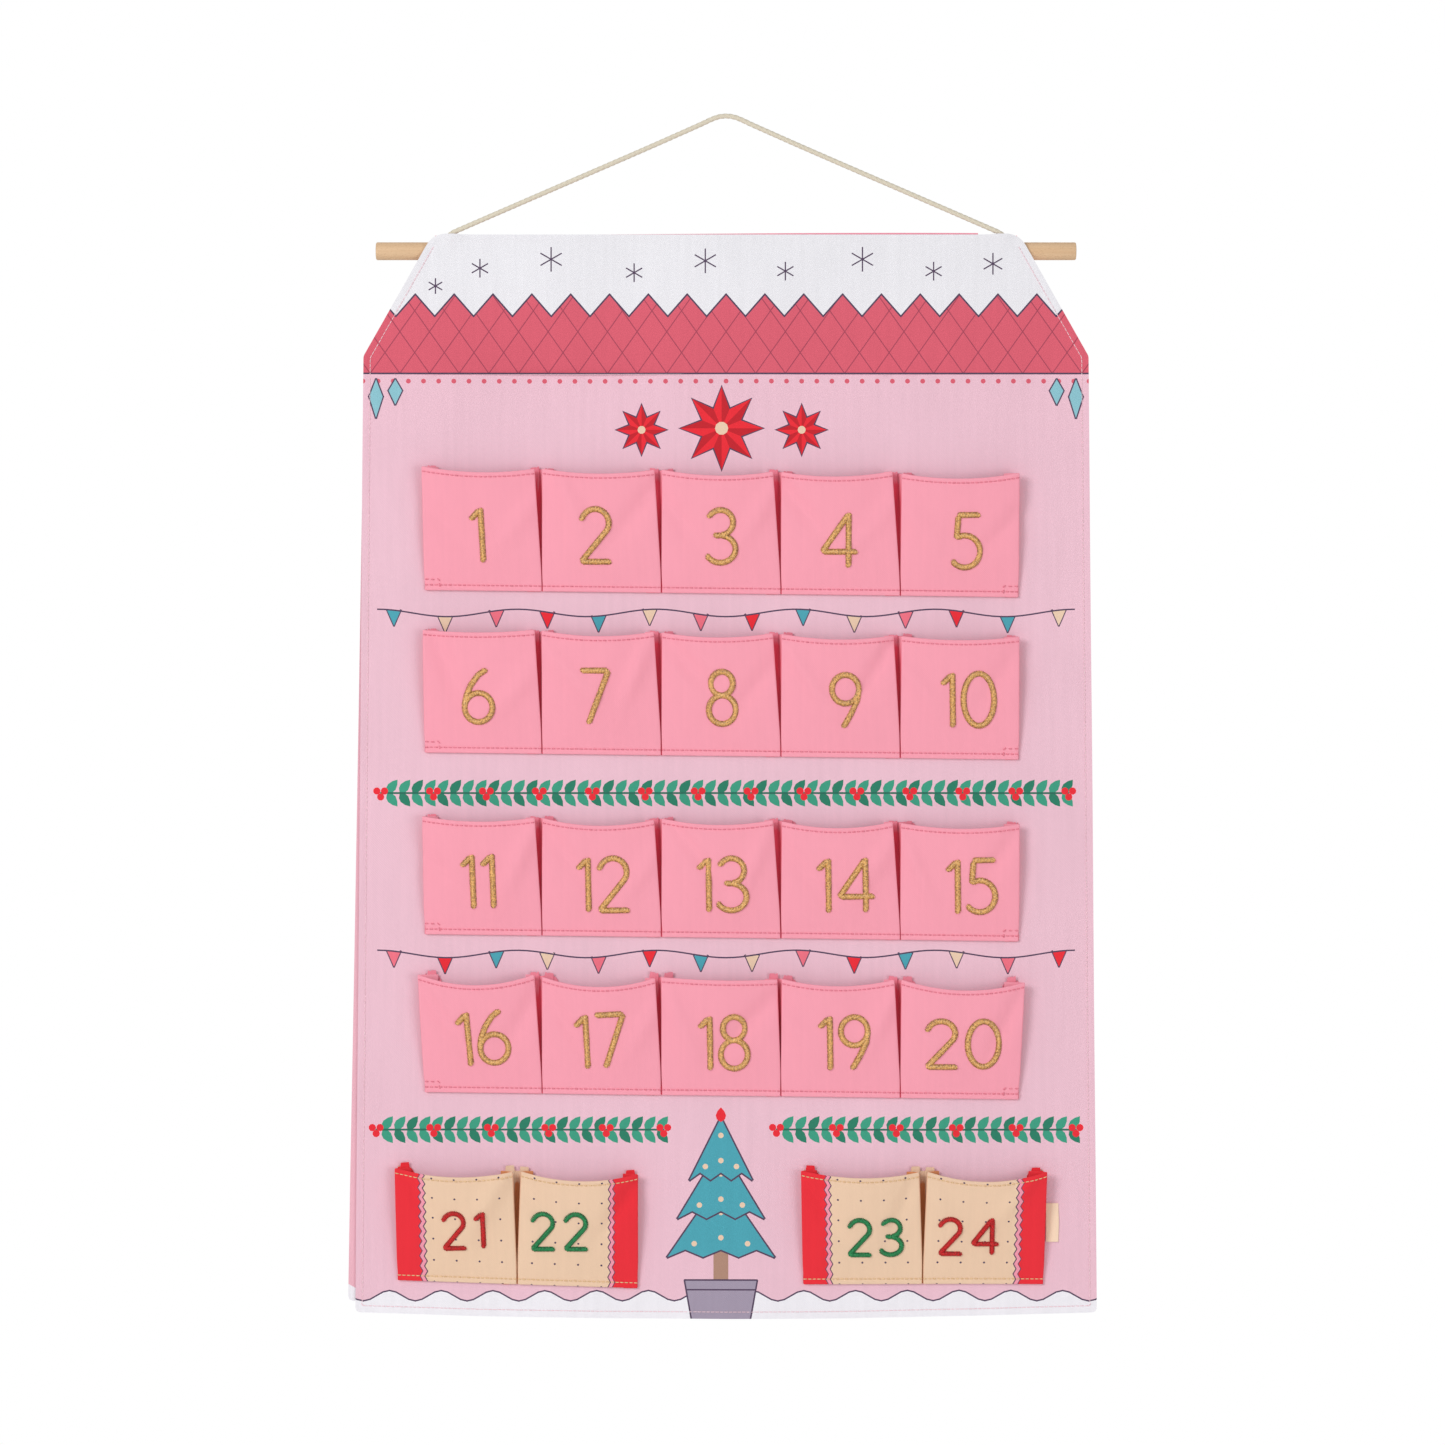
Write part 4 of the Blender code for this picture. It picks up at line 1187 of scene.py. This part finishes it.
# Lining. One layer of plain pink cotton behind the panel, from the casing down, hemmed and stitched near
# its edges. It has slipped 5 mm to the left and shows there.
lining_head = (rod_z - seam_below - casing_tail - 0.0003) * 1000
down_share = (top_level - lining_head) / (top_level - shoulder_level)
half_head = half_top + (half_shoulder - half_top) * down_share - 0.8
lining_corners = house_corners(half_head, lining_head, 0, half_shoulder - 0.8, -797.6, slip=-5)
motifs = [(stepped(rounded(lining_corners), 8), "#EDB6C4")]
fill(closed_at(-830, wavy(-787, 34.9, 7)), snow)
lining_mesh = spread_cloth("lining_cloth", motifs)
for vertex in lining_mesh.vertices:
    vertex.co.y = 0.0007 + drape(vertex.co.x, vertex.co.z)

# The same cotton as the pockets', printed thinly on its face. Its back has stayed unprinted.
lining_sides = []
for name in ("printed_cotton_lining", "unprinted_lining_back"):
    side_finish, tree, shader = new_finish(name, "#EDB4C2", 0.88, Sheen_Weight=0.1, Specular_IOR_Level=0.25)
    colour = ink("#EDBBC7")[:3] if lining_sides else add(tree, "Attribute", attribute_name="print")
    weave(tree, shader, add(tree, "TexCoord").outputs["Object"], colour, 0.7, "Z", 0.03)
    lining_sides.append(side_finish)
lining = place_in_room("lining_cloth", lining_mesh, *lining_sides)
thicken(lining, 0.0006, back=1)
settle(lining, 50)
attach(lining, "panel")
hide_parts("back_lining")
ring = stepped(rounded(moved_in(lining_corners, 5.5)), 8)
line = [(Vector((p.x, 1.3 + 1000 * drape(p.x / 1000, p.y / 1000), p.y)) / 1000, backward)
        for p in ring + ring[:1]]
stitches = sew("lining_stitches", [line], running_stitch, lockstitch, "panel")

# Label. A blank undyed cotton tape, folded in half and caught in the seam beside the last pocket. It
# curls a little at its fold.
label_left, label_right, label_middle = 0.2158, 0.2243, -0.7445
half_loop = [(label_left, -0.00148), (0.2185, -0.00150), (0.2213, -0.00153), (0.2235, -0.00150),
             (0.22405, -0.00142), (label_right, -0.00115), (0.22405, -0.00088), (0.2235, -0.00082),
             (0.2213, -0.00080), (0.2185, -0.00082), (label_left, -0.00084)]
lines = []
for j in range(9):
    z = label_middle - 0.013 + 0.026 * j / 8
    curl = 0.00008 * math.sin(j * 0.9)
    lines.append([Vector((x - 0.0002 * math.cos(j * 0.8) * (x > 0.222), y + curl, z)) for x, y in half_loop])
mesh, _ = woven_sheet("blank_tape_label", lines)
# Undyed cotton tape: a close twill that shows as fine slanted ribs, drawn 0.6 mm apart.
label_tape, tree, shader = new_finish("undyed_cotton_tape", "#D9B69E", 0.85, Sheen_Weight=0.1,
                                      Specular_IOR_Level=0.25)
spot = add(tree, "TexCoord").outputs["Object"]
slanted = add(tree, "Mapping", {"Vector": spot, "Rotation": (0.0, 0.6, 0.0)})
ribs = add(tree, "TexWave", {"Vector": slanted, "Scale": 520.0, "Distortion": 0.6},
           bands_direction="X").outputs["Fac"]
tone = add(tree, "Mix", {"Factor": ribs, 6: ink("#F6D2B4"), 7: ink("#FFE8CE")}, data_type="RGBA")
bump = add(tree, "Bump", {"Height": ribs, "Strength": 0.4, "Distance": 0.0001})
wire(shader, {"Base Color": tone, "Normal": bump})
label = place_in_room("blank_tape_label", mesh, label_tape)
thicken(label, 0.00022)
settle(label, 50)
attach(label, "label")
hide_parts("side_label")

# Floor, daylight and lamps. A pale floor well below the cloth, a soft white sky that shows white to the
# camera, two large lamps from the upper left and lower right, and one behind for the cloth's back.
floor_mesh = bpy.data.meshes.new("pale_floor")
floor_mesh.from_pydata([(-2, -2, -1.3), (2, -2, -1.3), (2, 2, -1.3), (-2, 2, -1.3)], [], [(0, 1, 2, 3)])
pale_floor, tree, shader = new_finish("pale_matt_floor", "#EEECEA", 0.9)
floor = place_in_room("pale_floor", floor_mesh, pale_floor)

world = bpy.data.worlds.new("studio")
world.use_nodes = True
tree = world.node_tree
tree.nodes.clear()
rays = add(tree, "LightPath").outputs
seen = add(tree, "Math", {0: rays["Is Camera Ray"], 1: rays["Is Glossy Ray"]}, operation="MAXIMUM")
seen = add(tree, "Math", {0: seen, 1: rays["Is Transmission Ray"]}, operation="MAXIMUM")
soft_light = add(tree, "Background", {"Color": (1.0, 1.0, 1.0, 1.0), "Strength": 0.46})
white = add(tree, "Background", {"Color": (1.0, 1.0, 1.0, 1.0), "Strength": 1.0})
add(tree, "OutputWorld", {"Surface": add(tree, "MixShader", {0: seen, 1: soft_light, 2: white})})
bpy.context.scene.world = world

for name, place, size, power in (("upper_left_lamp", (-2.3, -2.8, 0.8), 1.4, 63.0),
                                 ("lower_right_lamp", (2.3, -2.9, -1.0), 1.8, 33.0),
                                 ("lamp_behind", (0.9, 3.0, 0.6), 1.8, 45.0)):
    lamp_data = bpy.data.lights.new(name, "AREA")
    lamp_data.size = size
    lamp_data.energy = power
    lamp = bpy.data.objects.new(name, lamp_data)
    lamp.location = place
    lamp.rotation_euler = (Vector((0, 0, -0.42)) - Vector(place)).to_track_quat("-Z", "Y").to_euler()
    bpy.context.scene.collection.objects.link(lamp)

bpy.context.scene.view_settings.view_transform = "Standard"
